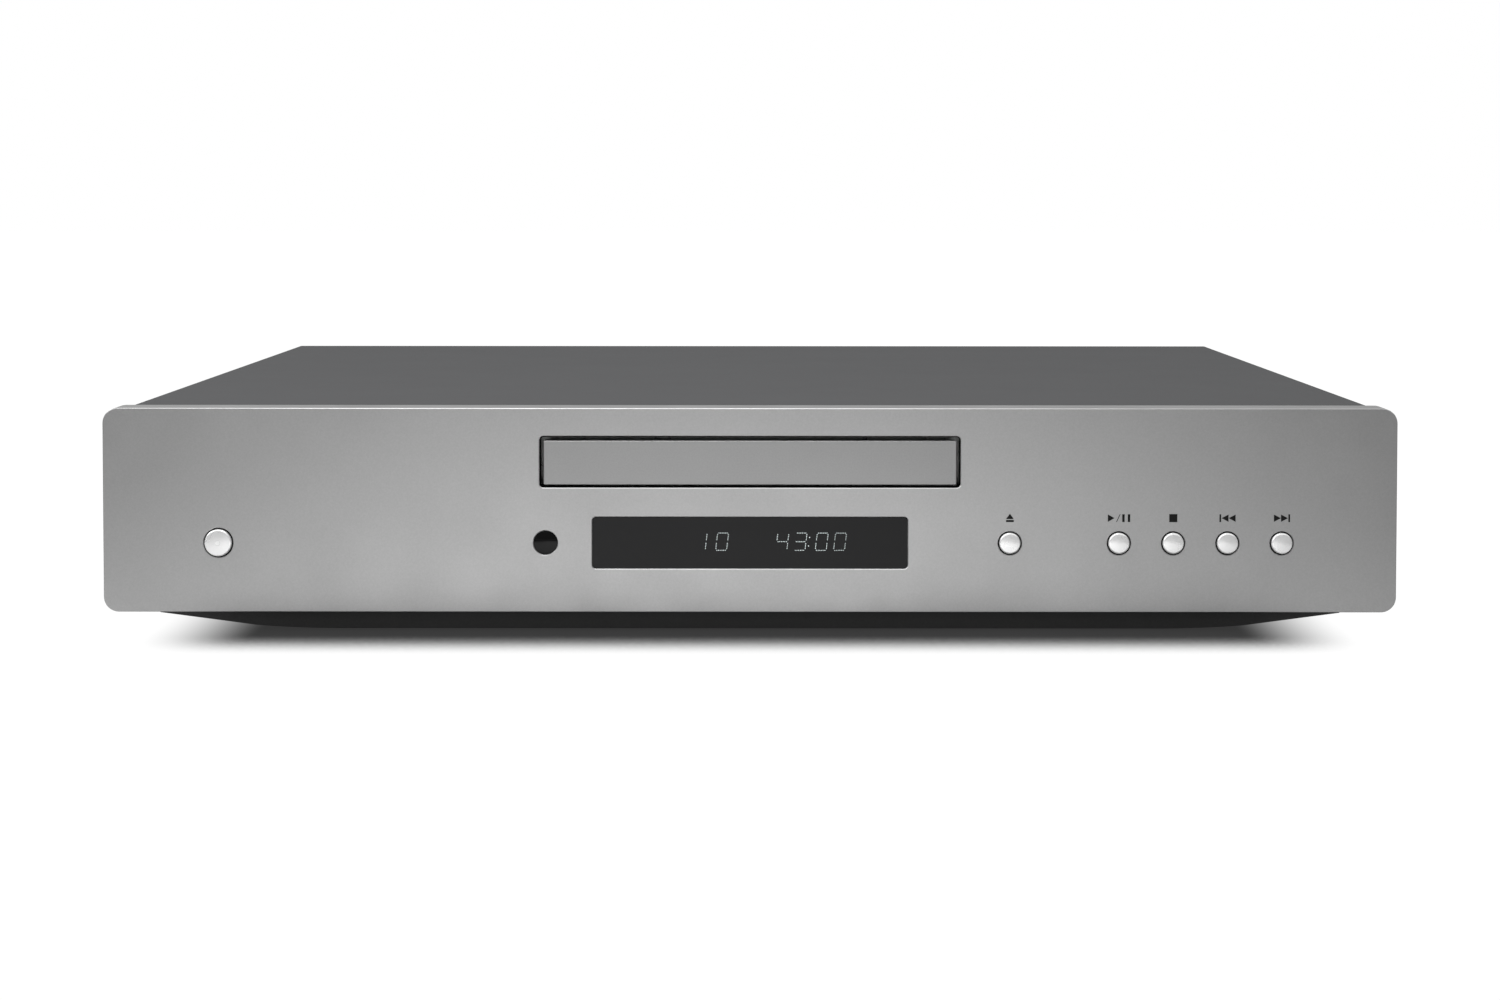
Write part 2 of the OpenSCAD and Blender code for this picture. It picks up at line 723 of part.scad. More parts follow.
module cover_screws() {
    color("#303133") {
        for (side = [-1, 1], y = side_screw_y) {
            translate([side * case_x, y, side_screw_z]) rotate([0, -90 * side, 0]) screw(5);
        }
        for (x = lip_screw_x) {
            translate([x, case_back_y, lip_screw_z]) rotate([90, 0, 0]) screw(5);
        }
    }
}

// Screws that come up through the base, each with the height of its head's underside and its length
under_screws = concat(
    [for (x = bracket_screw_x) [x, bracket_screw_y, base_z0, 4]],
    [for (x = rear_screw_x) [x, rear_screw_y, base_z0, 4]],
    [for (x = plinth_screw_x) [x, plinth_screw_y, pad_h + head_t + 0.4, base_z1 + 2 - pad_h - head_t]],
    [for (side = [-1, 1]) [side * foot_x, rear_foot_y, foot_screw_z + head_t, base_z1 + 2 - foot_screw_z - head_t]],
    [for (at = leg_at) [at[0], disc_y + at[1], base_z0, 5]]
);

module chassis_screws() {
    color("#303133") {
        for (at = under_screws) {
            translate([at[0], at[1], at[2]]) screw(at[3]);
        }
        for (at = panel_screws) {
            translate([at[0], bracket_back_y, at[1]]) rotate([90, 0, 0]) screw(6);
        }
        for (x = board_post_x) {
            translate([x, face_y + board_y + board_t, controls_z]) rotate([90, 0, 0]) small_screw(4);
        }
        for (side = [-1, 1]) {
            translate([side * bridge_screw_x, disc_y, tray_z + bridge_z[1]]) rotate([180, 0, 0]) small_screw(4);
        }
    }
}

// ---------------------------------------------------------------- buttons and display

// A cap with a domed face, its retaining flange and stem, and the switch plunger that it presses
module button(x, r) {
    crown = 0.6;
    bore = x < -button_end_x + 1 ? light_pipe_r : 0;
    translate([x, face_y, controls_z]) rotate([-90, 0, 0]) {
        difference() {
            union() {
                intersection() {
                    translate([0, 0, -button_proud + dome_r(r, crown)]) sphere(dome_r(r, crown), $fn = 96);
                    translate([0, 0, -button_proud - cut]) cylinder(r = r, h = flange_y + button_proud + cut);
                }
                translate([0, 0, flange_y]) cylinder(r = r + button_gap + 0.9, h = flange_t);
                translate([0, 0, flange_y + flange_t]) cylinder(r = stem_r, h = stem_end - flange_y - flange_t);
            }
            if (bore > 0) {
                translate([0, 0, -button_proud - cut]) cylinder(r = bore + 0.02, h = button_proud + cut + flange_y);
            }
        }
        translate([0, 0, stem_end]) cylinder(r = stem_r, h = plunger_len);
    }
}

function dome_r(r, crown) = (r * r + crown * crown) / (2 * crown);

module standby_light_pipe() {
    color("white") rod_y(light_pipe_r, -button_end_x, [face_y - button_proud + 0.05, face_y + flange_y], controls_z);
}

module switch_bodies() {
    color("#2b2b2b") for (b = all_buttons) {
        translate([b[0], face_y + switch_y, controls_z]) rotate([-90, 0, 0]) difference() {
            translate([-switch_w / 2, -switch_w / 2, 0]) cube([switch_w, switch_w, switch_t]);
            translate([0, 0, -cut]) cylinder(r = stem_r + run_clear, h = plunger_len + cut);
        }
    }
}

module display_board() {
    color("#2f6b3c") difference() {
        box([-board_half_w, board_half_w], [face_y + board_y, face_y + board_y + board_t],
            [controls_z - board_half_h, controls_z + board_half_h]);
        for (x = board_post_x) {
            rod_y(screw_r, x, [face_y + board_y - cut, face_y + board_y + board_t + cut], controls_z);
        }
    }
}

module display_tube() {
    tube_y = face_y + panel_face_t + window_flange_t + tube_gap;
    color("#3a4048") {
        box([-tube_w / 2, tube_w / 2], [tube_y, face_y + board_y], [controls_z - tube_h / 2, controls_z + tube_h / 2]);
    }
}

module remote_sensor() {
    sensor_y = face_y + panel_face_t + window_flange_t + 0.6;
    color("#1a1a1c") {
        box([-sensor_x - 3, -sensor_x + 3], [sensor_y + 1, face_y + board_y], [controls_z - 3.5, controls_z + 3.5]);
        translate([-sensor_x, sensor_y + 1.2, controls_z]) intersection() {
            sphere(1.8);
            box([-2, 2], [-2, 0], [-2, 2]);
        }
    }
}

// ---------------------------------------------------------------- disc drawer

module at_loader() {
    translate([0, disc_y, tray_z]) children();
}

function rack_teeth(from, to, at) = [for (k = [ceil((from - at) / rack_pitch) : floor((to - at) / rack_pitch)]) at + k * rack_pitch];

module rack_tooth(m, x, y) {
    p = PI * m;
    polygon([[x - 0.2, y - 0.3 * p], [x + 2.1 * m, y - 0.12 * p], [x + 2.1 * m, y + 0.12 * p], [x - 0.2, y + 0.3 * p]]);
}

module disc_tray() {
    rack_y = [tray_front_y + 14, tray_rear_y];
    lane_x = [rack_back_x - 1, gear_x + gear_m * (rack_wheel_n / 2 + 0.9) + 1];
    hollow_y = [tray_front_y + 3, tray_rear_y - tray_wall_t];
    color("#26272a") at_loader() {
        difference() {
            box([-tray_x, tray_x], [tray_front_y, tray_rear_y], [0, tray_h]);
            box([-tray_x + tray_wall_t, tray_x - tray_wall_t], hollow_y, [-cut, tray_under_z]);
            for (x = [lane_x, [-tray_slot_r, tray_slot_r]]) {
                box(x, [hollow_y[0], tray_rear_y + cut], [-cut, tray_under_z]);
            }
            rod_z(pocket_r, 0, 0, [pocket_z, tray_h + cut]);
            rod_z(small_pocket_r, 0, 0, [small_pocket_z, tray_h]);
            rod_z(tray_slot_r, 0, 0, [-cut, tray_h]);
            box([-tray_slot_r, tray_slot_r], [0, tray_slot_end], [-cut, tray_h + cut]);
            for (side = [-1, 1]) {
                rod_z(8, side * 43, -45, [pocket_z, tray_h + cut]);
            }
        }
        along_z([rack_z0, tray_under_z]) {
            translate([rack_back_x, rack_y[0]]) square([rack_root_x - rack_back_x, rack_y[1] - rack_y[0]]);
            for (y = rack_teeth(rack_y[0] + 2, rack_y[1] - 2, gear_y)) {
                rack_tooth(gear_m, rack_root_x, y);
            }
        }
    }
}

module tray_front() {
    color("#a6a7a9") {
        along_y([face_y + drawer_recess, face_y + drawer_recess + drawer_front_t])
            translate([0, drawer_front_z0 + drawer_front_h / 2]) rounded(drawer_front_w, drawer_front_h, 0.6);
    }
}

// ---------------------------------------------------------------- loader frame and drive

hinge_boss_y = [hinge_y - 6, hinge_y + 6];
bridge_half_w = 14;
bridge_screw_x = (frame_x0 + frame_x1) / 2;

module loader_frame() {
    walls_z = [frame_z0, frame_top_z];
    color("#3b3d40") at_loader() difference() {
        union() {
            mirror_box([frame_x0, frame_x1], [frame_y0, frame_y1], walls_z);
            box([-frame_x0, frame_x0], [frame_y0, frame_y0 + 2.5], [frame_z0, -1]);
            box([-frame_x0, frame_x0], [frame_y1 - 3, frame_y1], walls_z);
            box([-frame_x0, frame_x0], [frame_y0 + 2, opening_y], [frame_z0, frame_z1]);
            mirror_box([side_strip_x, frame_x0], [opening_y - 1, frame_y1 - 2], [frame_z0, frame_z1]);
            box([-frame_x0, frame_x0], [hinge_y + 5, frame_y1 - 2], [frame_z0, frame_z1]);
            mirror_box([ledge_x, frame_x0 + 0.5], [frame_y0 + 2, frame_y1 - 2], [-slide_clear - ledge_t, -slide_clear]);
            mirror_box([side_strip_x, frame_x0 + 0.5], hinge_boss_y, [hinge_z - 5, -slide_clear]);
            for (y = [frame_y0 + 2, 18, tray_rear_y - 22]) {
                mirror_box([tray_x - 3, frame_x1], [y, y + 20], [tray_h + slide_clear, tray_h + slide_clear + 1.6]);
            }
            mirror_box([frame_x0, frame_x1], [-bridge_half_w, bridge_half_w], [tray_h, bridge_z[0]]);
            box([-cam_rail_x, cam_rail_x], [cam_y0 - 1.8, cam_y0 - 0.3], [frame_z1 - cut, frame_z1 + 3]);
            rod_z(post_r + 2, gear_x, gear_y, [frame_z1 - cut, drive_wheel_z[0] - 0.3]);
            rod_z(post_r, gear_x, gear_y, [frame_z1, rack_wheel_z0 - 0.2]);
            rod_z(post_r + 2, pulley_x, gear_y, [frame_z1 - cut, pulley_z[0] - 0.3]);
            rod_z(post_r, pulley_x, gear_y, [frame_z1, drive_wheel_z[1] + 0.5]);
        }
        for (side = [-1, 1]) {
            rod_x(hinge_pin_r + run_clear, side > 0 ? [side_strip_x - cut, hinge_pin_x + 1] : [-hinge_pin_x - 1, -side_strip_x + cut], hinge_y, hinge_z);
        }
        rod_z(shaft_r + 1.5, motor_x, gear_y, [frame_z0 - cut, frame_z1 + cut]);
        for (at = leg_at) {
            rod_z(pilot_r, at[0], at[1], [frame_z0 - cut, frame_z1 + cut]);
        }
        for (side = [-1, 1]) {
            rod_z(small_pilot_r, side * bridge_screw_x, 0, [bridge_z[0] - 5, bridge_z[0] + cut]);
        }
    }
}

module loader_legs() {
    color("#c9a23a") for (at = leg_at) {
        translate([at[0], disc_y + at[1], 0]) difference() {
            union() {
                cylinder_between(leg_r, base_z1, tray_z + frame_z0);
                cylinder_between(pilot_r - 0.05, base_z1 + 6, tray_z + frame_z1 + 1);
            }
            cylinder_between(pilot_r, base_z1 - cut, base_z1 + 5);
        }
    }
}

module cylinder_between(r, z0, z1) {
    translate([0, 0, z0]) cylinder(r = r, h = z1 - z0);
}

module loading_motor() {
    color("#b9bcc0") at_loader() difference() {
        rod_z(motor_r, motor_x, gear_y, [frame_z0 - motor_h, frame_z0]);
        rod_z(shaft_r + run_clear, motor_x, gear_y, [frame_z0 - motor_h + 2, frame_z0 + cut]);
    }
}

module motor_pulley() {
    color("#e8e6df") at_loader() {
        rod_z(shaft_r, motor_x, gear_y, [frame_z0 - motor_h + 2.5, pulley_z[0]]);
        pulley(motor_x, motor_pulley_r);
    }
}

// A belt wheel: two flanges with the belt's groove between them
module pulley(x, r) {
    rod_z(r - belt_t, x, gear_y, pulley_z);
    rod_z(r + 0.6, x, gear_y, [pulley_z[0], pulley_z[0] + 0.5]);
    rod_z(r + 0.6, x, gear_y, [pulley_z[1] - 0.5, pulley_z[1]]);
}

module pulley_gear() {
    color("#e8e6df") at_loader() difference() {
        union() {
            pulley(pulley_x, pulley_r);
            rod_z(post_r + 2, pulley_x, gear_y, [pulley_z[1] - cut, drive_wheel_z[0]]);
            along_z(drive_wheel_z) translate([pulley_x, gear_y]) polygon(gear_outline(gear_m, pulley_pinion_n, 0.5));
        }
        rod_z(post_r + run_clear, pulley_x, gear_y, [pulley_z[0] - cut, drive_wheel_z[1] + cut]);
    }
}

module drive_gear() {
    color("#d8d5cb") at_loader() difference() {
        union() {
            along_z(drive_wheel_z) translate([gear_x, gear_y]) polygon(gear_outline(gear_m, drive_wheel_n, 0));
            rod_z(post_r + 3, gear_x, gear_y, [drive_wheel_z[1] - cut, rack_wheel_z0 + cut]);
            along_z([rack_wheel_z0, rack_wheel_z1])
                translate([gear_x, gear_y]) polygon(gear_outline(gear_m, rack_wheel_n, 0.5));
        }
        rod_z(post_r + run_clear, gear_x, gear_y, [drive_wheel_z[0] - cut, rack_wheel_z0]);
    }
}

// The belt lies in both grooves, along the two straight lines that touch both wheels
module drive_belt() {
    span = motor_x - pulley_x;
    z = [pulley_z[0] + 0.5 + belt_gap, pulley_z[1] - 0.5 - belt_gap];
    color("#111111") at_loader() translate([pulley_x, gear_y, 0]) difference() {
        belt_loop(pulley_r, motor_pulley_r, span, z);
        belt_loop(pulley_r - belt_t + 0.05, motor_pulley_r - belt_t + 0.05, span, [z[0] - cut, z[1] + cut]);
    }
}

module belt_loop(r1, r2, span, z) {
    a = acos((r1 - r2) / span);
    along_z(z) polygon(concat(arc(r1, a, 360 - a, 36), [for (p = arc(r2, -a, a, 16)) p + [span, 0]]));
}

// A slot with round ends, cut along Y between two points in X and Z
module cam_slot(a, b, r) {
    d = b - a;
    y = [cam_y0 - cut, cam_y1 + cut];
    rod_y(r, a[0], y, a[1]);
    rod_y(r, b[0], y, b[1]);
    translate([a[0], y[0], a[1]]) rotate([0, -atan2(d[1], d[0]), 0]) translate([0, 0, -r]) cube([norm(d), y[1] - y[0], 2 * r]);
}

module cam_slider() {
    slot_r = pin_r + 0.25;
    color("#ece9e0") at_loader() difference() {
        union() {
            box([-cam_pin_x - cam_travel - cam_margin, cam_pin_x + cam_margin], [cam_y0, cam_y1], [cam_z0, hinge_z + 3]);
            box([-cam_pin_x - cam_travel - cam_margin, cam_pin_x + cam_margin], [cam_y0, cam_y1 + 2.5], [cam_z0, cam_z0 + 1.2]);
        }
        for (x = [-cam_pin_x, cam_pin_x]) {
            cam_slot([x, pin_low_z], [x - cam_travel, hinge_z], slot_r);
        }
    }
}

// ---------------------------------------------------------------- pickup frame

// Pieces on the pickup frame are drawn level, as they play, and dropped by the frame's angle
module at_lift() {
    at_loader() translate([0, hinge_y, hinge_z]) rotate([drop_angle, 0, 0]) translate([0, -hinge_y, -hinge_z]) children();
}

module pickup_frame() {
    color("#6f7378") at_lift() difference() {
        union() {
            box([-plate_x, plate_x], [plate_y0, hinge_y + 4], [plate_z0, plate_z1]);
            for (x = [-cam_pin_x, cam_pin_x]) {
                rod_y(pin_r, x, [cam_y0 - 1, plate_y0 + 1], hinge_z);
                box([x - 3, x + 3], [plate_y0, plate_y0 + 4], [hinge_z - 3, plate_z1]);
            }
            mirror_box([plate_x - 4, plate_x], [hinge_y - 5, hinge_y + 4], [hinge_z - 3, plate_z1]);
            rod_x(hinge_pin_r, [-hinge_pin_x, -plate_x + 1], hinge_y, hinge_z);
            rod_x(hinge_pin_r, [plate_x - 1, hinge_pin_x], hinge_y, hinge_z);
            for (x = [-rod_x, rod_x], y = [well_y0 - 4.5, well_y1 + 0.5]) {
                box([x - 2.6, x + 2.6], [y, y + 4], [plate_z1 - cut, rod_z + rod_r + 0.6]);
            }
            rod_z(post_r, sled_gear_x, sled_gear_y, [plate_z1 - cut, sled_wheel_z[1] - 0.2]);
        }
        box([-well_x, well_x], [well_y0, well_y1], [plate_z0 - cut, plate_z1 + cut]);
        for (x = [-rod_x, rod_x], y = [well_y0 - 4.5, well_y1 + 0.5]) {
            rod_y(rod_r + 0.02, x, [y - cut, y + 4 + cut], rod_z);
        }
        rod_z(3, 0, 0, [plate_z0 - cut, plate_z1 + cut]);
        rod_z(shaft_r + 1, sled_gear_x, sled_pinion_y, [plate_z0 - cut, plate_z1 + cut]);
    }
}

module spindle_motor() {
    color("#b9bcc0") at_lift() difference() {
        rod_z(motor_r, 0, 0, [plate_z0 - spindle_motor_h, plate_z0]);
        rod_z(shaft_r + run_clear, 0, 0, [plate_z0 - spindle_motor_h + 1.5, plate_z0 + cut]);
    }
}

module turntable() {
    color("#1f1f22") at_lift() {
        rod_z(turntable_r, 0, 0, [seat_z - turntable_t, seat_z]);
        translate([0, 0, seat_z]) cylinder(r1 = nose_r, r2 = nose_r - 1.4, h = nose_h);
        rod_z(3.4, 0, 0, [plate_z1 + 0.6, seat_z - turntable_t]);
        rod_z(shaft_r, 0, 0, [plate_z0 - spindle_motor_h + 2, plate_z1 + 0.6]);
    }
}

module guide_rods() {
    color("#d5d7da") at_lift() for (x = [-rod_x, rod_x]) {
        rod_y(rod_r, x, rod_ends, rod_z);
    }
}

module optical_pickup() {
    ears_y = [[lens_start - 6, lens_start - 1], [lens_start + 12, lens_start + 17]];
    rack_y = [sled_gear_y - sled_travel - 4, sled_gear_y + 4];
    color("#35383c") at_lift() difference() {
        union() {
            box([-19, 19], [lens_start - 6.5, lens_start + 17.5], [pickup_z0, pickup_z1]);
            for (y = ears_y) {
                mirror_box([18, rod_x + 3.4], y, [rod_z - rod_r - 1, rod_z + rod_r + 0.8]);
            }
            rod_z(turret_r, 0, lens_start, [pickup_z1 - cut, turret_z1]);
            box([rod_x + 2.9, sled_rack_root_x], rack_y, sled_wheel_z);
            along_z(sled_wheel_z) {
                for (k = [ceil((rack_y[0] + 1 - sled_gear_y) / (PI * sled_m)) : floor((rack_y[1] - 1 - sled_gear_y) / (PI * sled_m))]) {
                    rack_tooth(sled_m, sled_rack_root_x, sled_gear_y + k * PI * sled_m);
                }
            }
        }
        rod_z(turret_r - 1.5, 0, lens_start, [pickup_z1 + 0.4, turret_z1 + cut]);
        for (x = [-rod_x, rod_x]) {
            rod_y(rod_r + run_clear, x, [lens_start - 7, lens_start + 18], rod_z);
        }
    }
}

module lens_holder() {
    lens_z0 = pickup_z1 + 1;
    color("#8fb0c8") at_lift() {
        rod_z(turret_r - 2.4, 0, lens_start, [lens_z0, lens_z0 + 2.2]);
        translate([0, lens_start, lens_z0 + 2.2]) intersection() {
            translate([0, 0, -4.5]) sphere(5.5);
            cylinder(r = 3.2, h = 2);
        }
    }
}

module sled_motor() {
    color("#b9bcc0") at_lift() difference() {
        rod_z(sled_motor_r, sled_gear_x, sled_pinion_y, [plate_z0 - sled_motor_h, plate_z0]);
        rod_z(shaft_r + run_clear, sled_gear_x, sled_pinion_y, [plate_z0 - sled_motor_h + 2, plate_z0 + cut]);
    }
}

module sled_pinion() {
    color("#e8e6df") at_lift() {
        rod_z(shaft_r, sled_gear_x, sled_pinion_y, [plate_z0 - sled_motor_h + 2.5, sled_drive_z[0]]);
        along_z(sled_drive_z) translate([sled_gear_x, sled_pinion_y]) rotate(90) polygon(gear_outline(sled_m, sled_pinion_n, 0.5));
    }
}

module sled_gear() {
    color("#ece9e0") at_lift() difference() {
        union() {
            along_z(sled_drive_z) translate([sled_gear_x, sled_gear_y]) rotate(90) polygon(gear_outline(sled_m, sled_drive_n, 0));
            rod_z(post_r + 1.2, sled_gear_x, sled_gear_y, [sled_drive_z[1] - 0.1, sled_wheel_z[0] + 0.1]);
            along_z(sled_wheel_z) translate([sled_gear_x, sled_gear_y]) polygon(gear_outline(sled_m, sled_wheel_n, 0.5));
        }
        rod_z(post_r + run_clear, sled_gear_x, sled_gear_y, [sled_drive_z[0] - cut, sled_wheel_z[1] + cut]);
    }
}

// ---------------------------------------------------------------- disc clamp

module clamp_bridge() {
    color("#85898d") at_loader() difference() {
        box([-frame_x1, frame_x1], [-bridge_half_w, bridge_half_w], bridge_z);
        rod_z(bridge_hole_r, 0, 0, [bridge_z[0] - cut, bridge_z[1] + cut]);
        for (side = [-1, 1]) {
            rod_z(small_pilot_r + 0.1, side * bridge_screw_x, 0, [bridge_z[0] - cut, bridge_z[1] + cut]);
        }
    }
}

module clamp_puck() {
    color("#2a2b2e") at_loader() difference() {
        union() {
            rod_z(puck_r, 0, 0, [puck_z0, puck_z0 + puck_pad_t]);
            rod_z(puck_neck_r, 0, 0, [puck_z0, puck_top_z]);
        }
        rod_z(nose_r + 1.1, 0, 0, [puck_z0 - cut, puck_z0 + nose_h]);
        rod_z(magnet_r + 0.02, 0, 0, [puck_top_z - magnet_t, puck_top_z + cut]);
    }
}

module clamp_magnet() {
    color("#5b5d61") at_loader() difference() {
        rod_z(magnet_r, 0, 0, [puck_top_z - magnet_t, puck_top_z]);
        rod_z(3, 0, 0, [puck_top_z - magnet_t - cut, puck_top_z + cut]);
    }
}

module clamp_yoke() {
    color("#a9adb1") at_loader() rod_z(bridge_hole_r + 2.5, 0, 0, [puck_top_z, puck_top_z + yoke_t]);
}

// ---------------------------------------------------------------- electronics

module spaced_board(x, y) {
    difference() {
        box(x, y, [board_z0, board_z1]);
        for (at = board_corners(x, y)) {
            rod_z(screw_r, at[0], at[1], [board_z0 - cut, board_z1 + cut]);
        }
    }
}

function board_corners(x, y) = [
    for (cx = [x[0] + spacer_inset, x[1] - spacer_inset], cy = [y[0] + spacer_inset, y[1] - 30]) [cx, cy]
];

module board_spacers() {
    color("#c9a23a") for (at = concat(board_corners(main_x, main_y), board_corners(power_x, power_y))) {
        rod_z(spacer_r, at[0], at[1], [base_z1, board_z0]);
        rod_z(screw_r - 0.05, at[0], at[1], [board_z0 - cut, board_z1 + 0.2]);
        rod_z(head_r, at[0], at[1], [board_z1, board_z1 + head_t]);
    }
}

module main_board() {
    color("#2f6b3c") spaced_board(main_x, main_y);
}

module power_board() {
    color("#2f6b3c") spaced_board(power_x, power_y);
}

module chip(x, y, w, d, h) {
    box([x - w / 2, x + w / 2], [y - d / 2, y + d / 2], [board_z1, board_z1 + h]);
}

module main_board_chips() {
    mid_x = (main_x[0] + main_x[1]) / 2;
    color("#1b1c1e") {
        chip(mid_x, -20, 20, 20, 1.6);
        chip(mid_x - 30, 20, 8, 12, 1.8);
        chip(mid_x + 30, 20, 8, 12, 1.8);
        chip(mid_x, 40, 14, 6, 3);
        chip(mid_x + 25, -45, 22, 8, 9);
        chip(mid_x - 30, -50, 18, 6, 8);
    }
}

module can_row(r, h, x, y, pitch, count) {
    for (i = [0 : count - 1]) {
        rod_z(r, x + pitch * i, y, [board_z1, board_z1 + h]);
    }
}

module capacitors() {
    mid_x = (main_x[0] + main_x[1]) / 2;
    color("#22314f") {
        can_row(small_can[0], small_can[1], mid_x - 2 * small_can_pitch, main_y[0] + 140, small_can_pitch, 5);
        can_row(large_can[0], large_can[1], power_x[0] + 22, power_y[1] - 22, large_can_pitch, 4);
        can_row(middle_can[0], middle_can[1], power_x[0] + 60, power_y[0] + 22, small_can_pitch, 3);
    }
}

module heat_sink() {
    x0 = power_x[0] + 24;
    y0 = power_y[0] + 50;
    z = [board_z1, board_z1 + sink_h];
    pitch = (sink_w - sink_fin_t) / sink_fins;
    color("#b4b7ba") {
        box([x0, x0 + sink_w], [y0, y0 + sink_back_t], z);
        for (i = [0 : sink_fins]) {
            box([x0 + i * pitch, x0 + i * pitch + sink_fin_t], [y0 + sink_back_t, y0 + sink_back_t + sink_fin_d], z);
        }
    }
}

module transformer() {
    edge = 6;
    z0 = base_z1 + 1;
    z1 = z0 + transformer_h;
    mid = transformer_bore_r + edge;
    far = transformer_r - edge;
    color("#c7a54a") translate([transformer_at[0], transformer_at[1], 0]) {
        rotate_extrude() {
            translate([mid, z0]) square([far - mid, transformer_h]);
            translate([transformer_bore_r, z0 + edge]) square([transformer_r - transformer_bore_r, transformer_h - 2 * edge]);
            for (r = [mid, far], z = [z0 + edge, z1 - edge]) {
                translate([r, z]) circle(edge);
            }
        }
    }
}

module transformer_clamp() {
    z0 = base_z1;
    z1 = z0 + 1 + transformer_h;
    color("#8d9094") translate([transformer_at[0], transformer_at[1], 0]) {
        difference() {
            union() {
                cylinder_between(transformer_r - 8, z1, z1 + 1.5);
                cylinder_between(transformer_bore_r - 1, z1 - 3, z1 + 1);
            }
            cylinder_between(3.1, z1 - 4, z1 + 2);
        }
        cylinder_between(3, base_z0 - 1, z1 + 6);
        translate([0, 0, z1 + 1.5]) cylinder(r = 5.5, h = 4, $fn = 6);
        cylinder_between(5.5, base_z0 - 3, base_z0);
        difference() {
            cylinder_between(transformer_r - 6, z0, z0 + 1);
            cylinder_between(3.1, z0 - cut, z0 + 1 + cut);
        }
    }
}

// ---------------------------------------------------------------- rear sockets

jacks = [[jack_x[0], jack_z], [jack_x[0], jack_z + jack_pitch], [jack_x[1], jack_z]];
jack_collar_r = 5.4;
jack_fill_r = jack_r - 0.75;

module mains_inlet() {
    w = inlet_w / 2;
    h = inlet_h / 2;
    color("#161719") difference() {
        union() {
            box([-inlet_x - w - inlet_wall, -inlet_x + w + inlet_wall],
                [rear_out_y + inlet_flange_t - inlet_depth - 2, rear_out_y + inlet_flange_t],
                [inlet_z - h - inlet_wall, inlet_z + h + inlet_wall]);
            box([-inlet_x - w - 3.4, -inlet_x + w + 3.4], [rear_out_y, rear_out_y + inlet_flange_t], [inlet_z - h - 3, inlet_z + h + 3]);
        }
        along_y([rear_out_y + inlet_flange_t - inlet_depth, rear_out_y + inlet_flange_t + cut])
            translate([-inlet_x, inlet_z])
                polygon([[-w, -h], [w, -h], [w, h - 4], [w - 4, h], [-w + 4, h], [-w, h - 4]]);
        inlet_blades(0.05);
    }
}

// Blades of the three contacts: two below and the earth above
module inlet_blades(grow) {
    mouth_y = rear_out_y + inlet_flange_t;
    for (at = [[-7, -2], [7, -2], [0, 2]]) {
        translate([-inlet_x + at[0], 0, inlet_z + at[1]])
            box([-1 - grow, 1 + grow], [mouth_y - inlet_depth - 8, mouth_y - 2.5], [-2 - grow, 2 + grow]);
    }
}

module inlet_pins() {
    color("#c9c39a") inlet_blades(0);
}

module socket_housings() {
    color("#1a1b1d") {
        for (stack = [[jack_x[0], 2], [jack_x[1], 1]]) {
            box([stack[0] - 6.5, stack[0] + 6.5], [rear_in_y - 14, rear_in_y],
                [board_z1, jack_z + jack_pitch * (stack[1] - 1) + 7]);
        }
    }
}

module socket_sleeves() {
    color("#d8c07a") for (at = jacks) {
        difference() {
            rod_y(jack_r, at[0], [rear_out_y + 1.6, rear_out_y + jack_len], at[1]);
            rod_y(jack_fill_r, at[0], [rear_out_y + 1, rear_out_y + jack_len + cut], at[1]);
        }
    }
}

module socket_insulators() {
    color("#e0e0de") for (at = jacks) {
        difference() {
            union() {
                rod_y(jack_collar_r, at[0], [rear_in_y, rear_out_y + 1.6], at[1]);
                rod_y(jack_fill_r, at[0], [rear_out_y, rear_out_y + jack_len - 0.4], at[1]);
            }
            rod_y(jack_bore_r, at[0], [rear_out_y + jack_len - 9, rear_out_y + jack_len], at[1]);
        }
    }
}

// A round lead along straight runs that follow X, Y and Z by turns, with a knuckle at each bend
module lead(points, r) {
    for (i = [0 : len(points) - 2]) {
        a = points[i];
        b = points[i + 1];
        lo = [for (k = [0 : 2]) min(a[k], b[k])];
        hi = [for (k = [0 : 2]) max(a[k], b[k])];
        if (hi[0] > lo[0]) rod_x(r, [lo[0], hi[0]], a[1], a[2]);
        if (hi[1] > lo[1]) rod_y(r, a[0], [lo[1], hi[1]], a[2]);
        if (hi[2] > lo[2]) rod_z(r, a[0], a[1], [lo[2], hi[2]]);
        if (i > 0) translate(a) sphere(r + 0.15);
    }
}

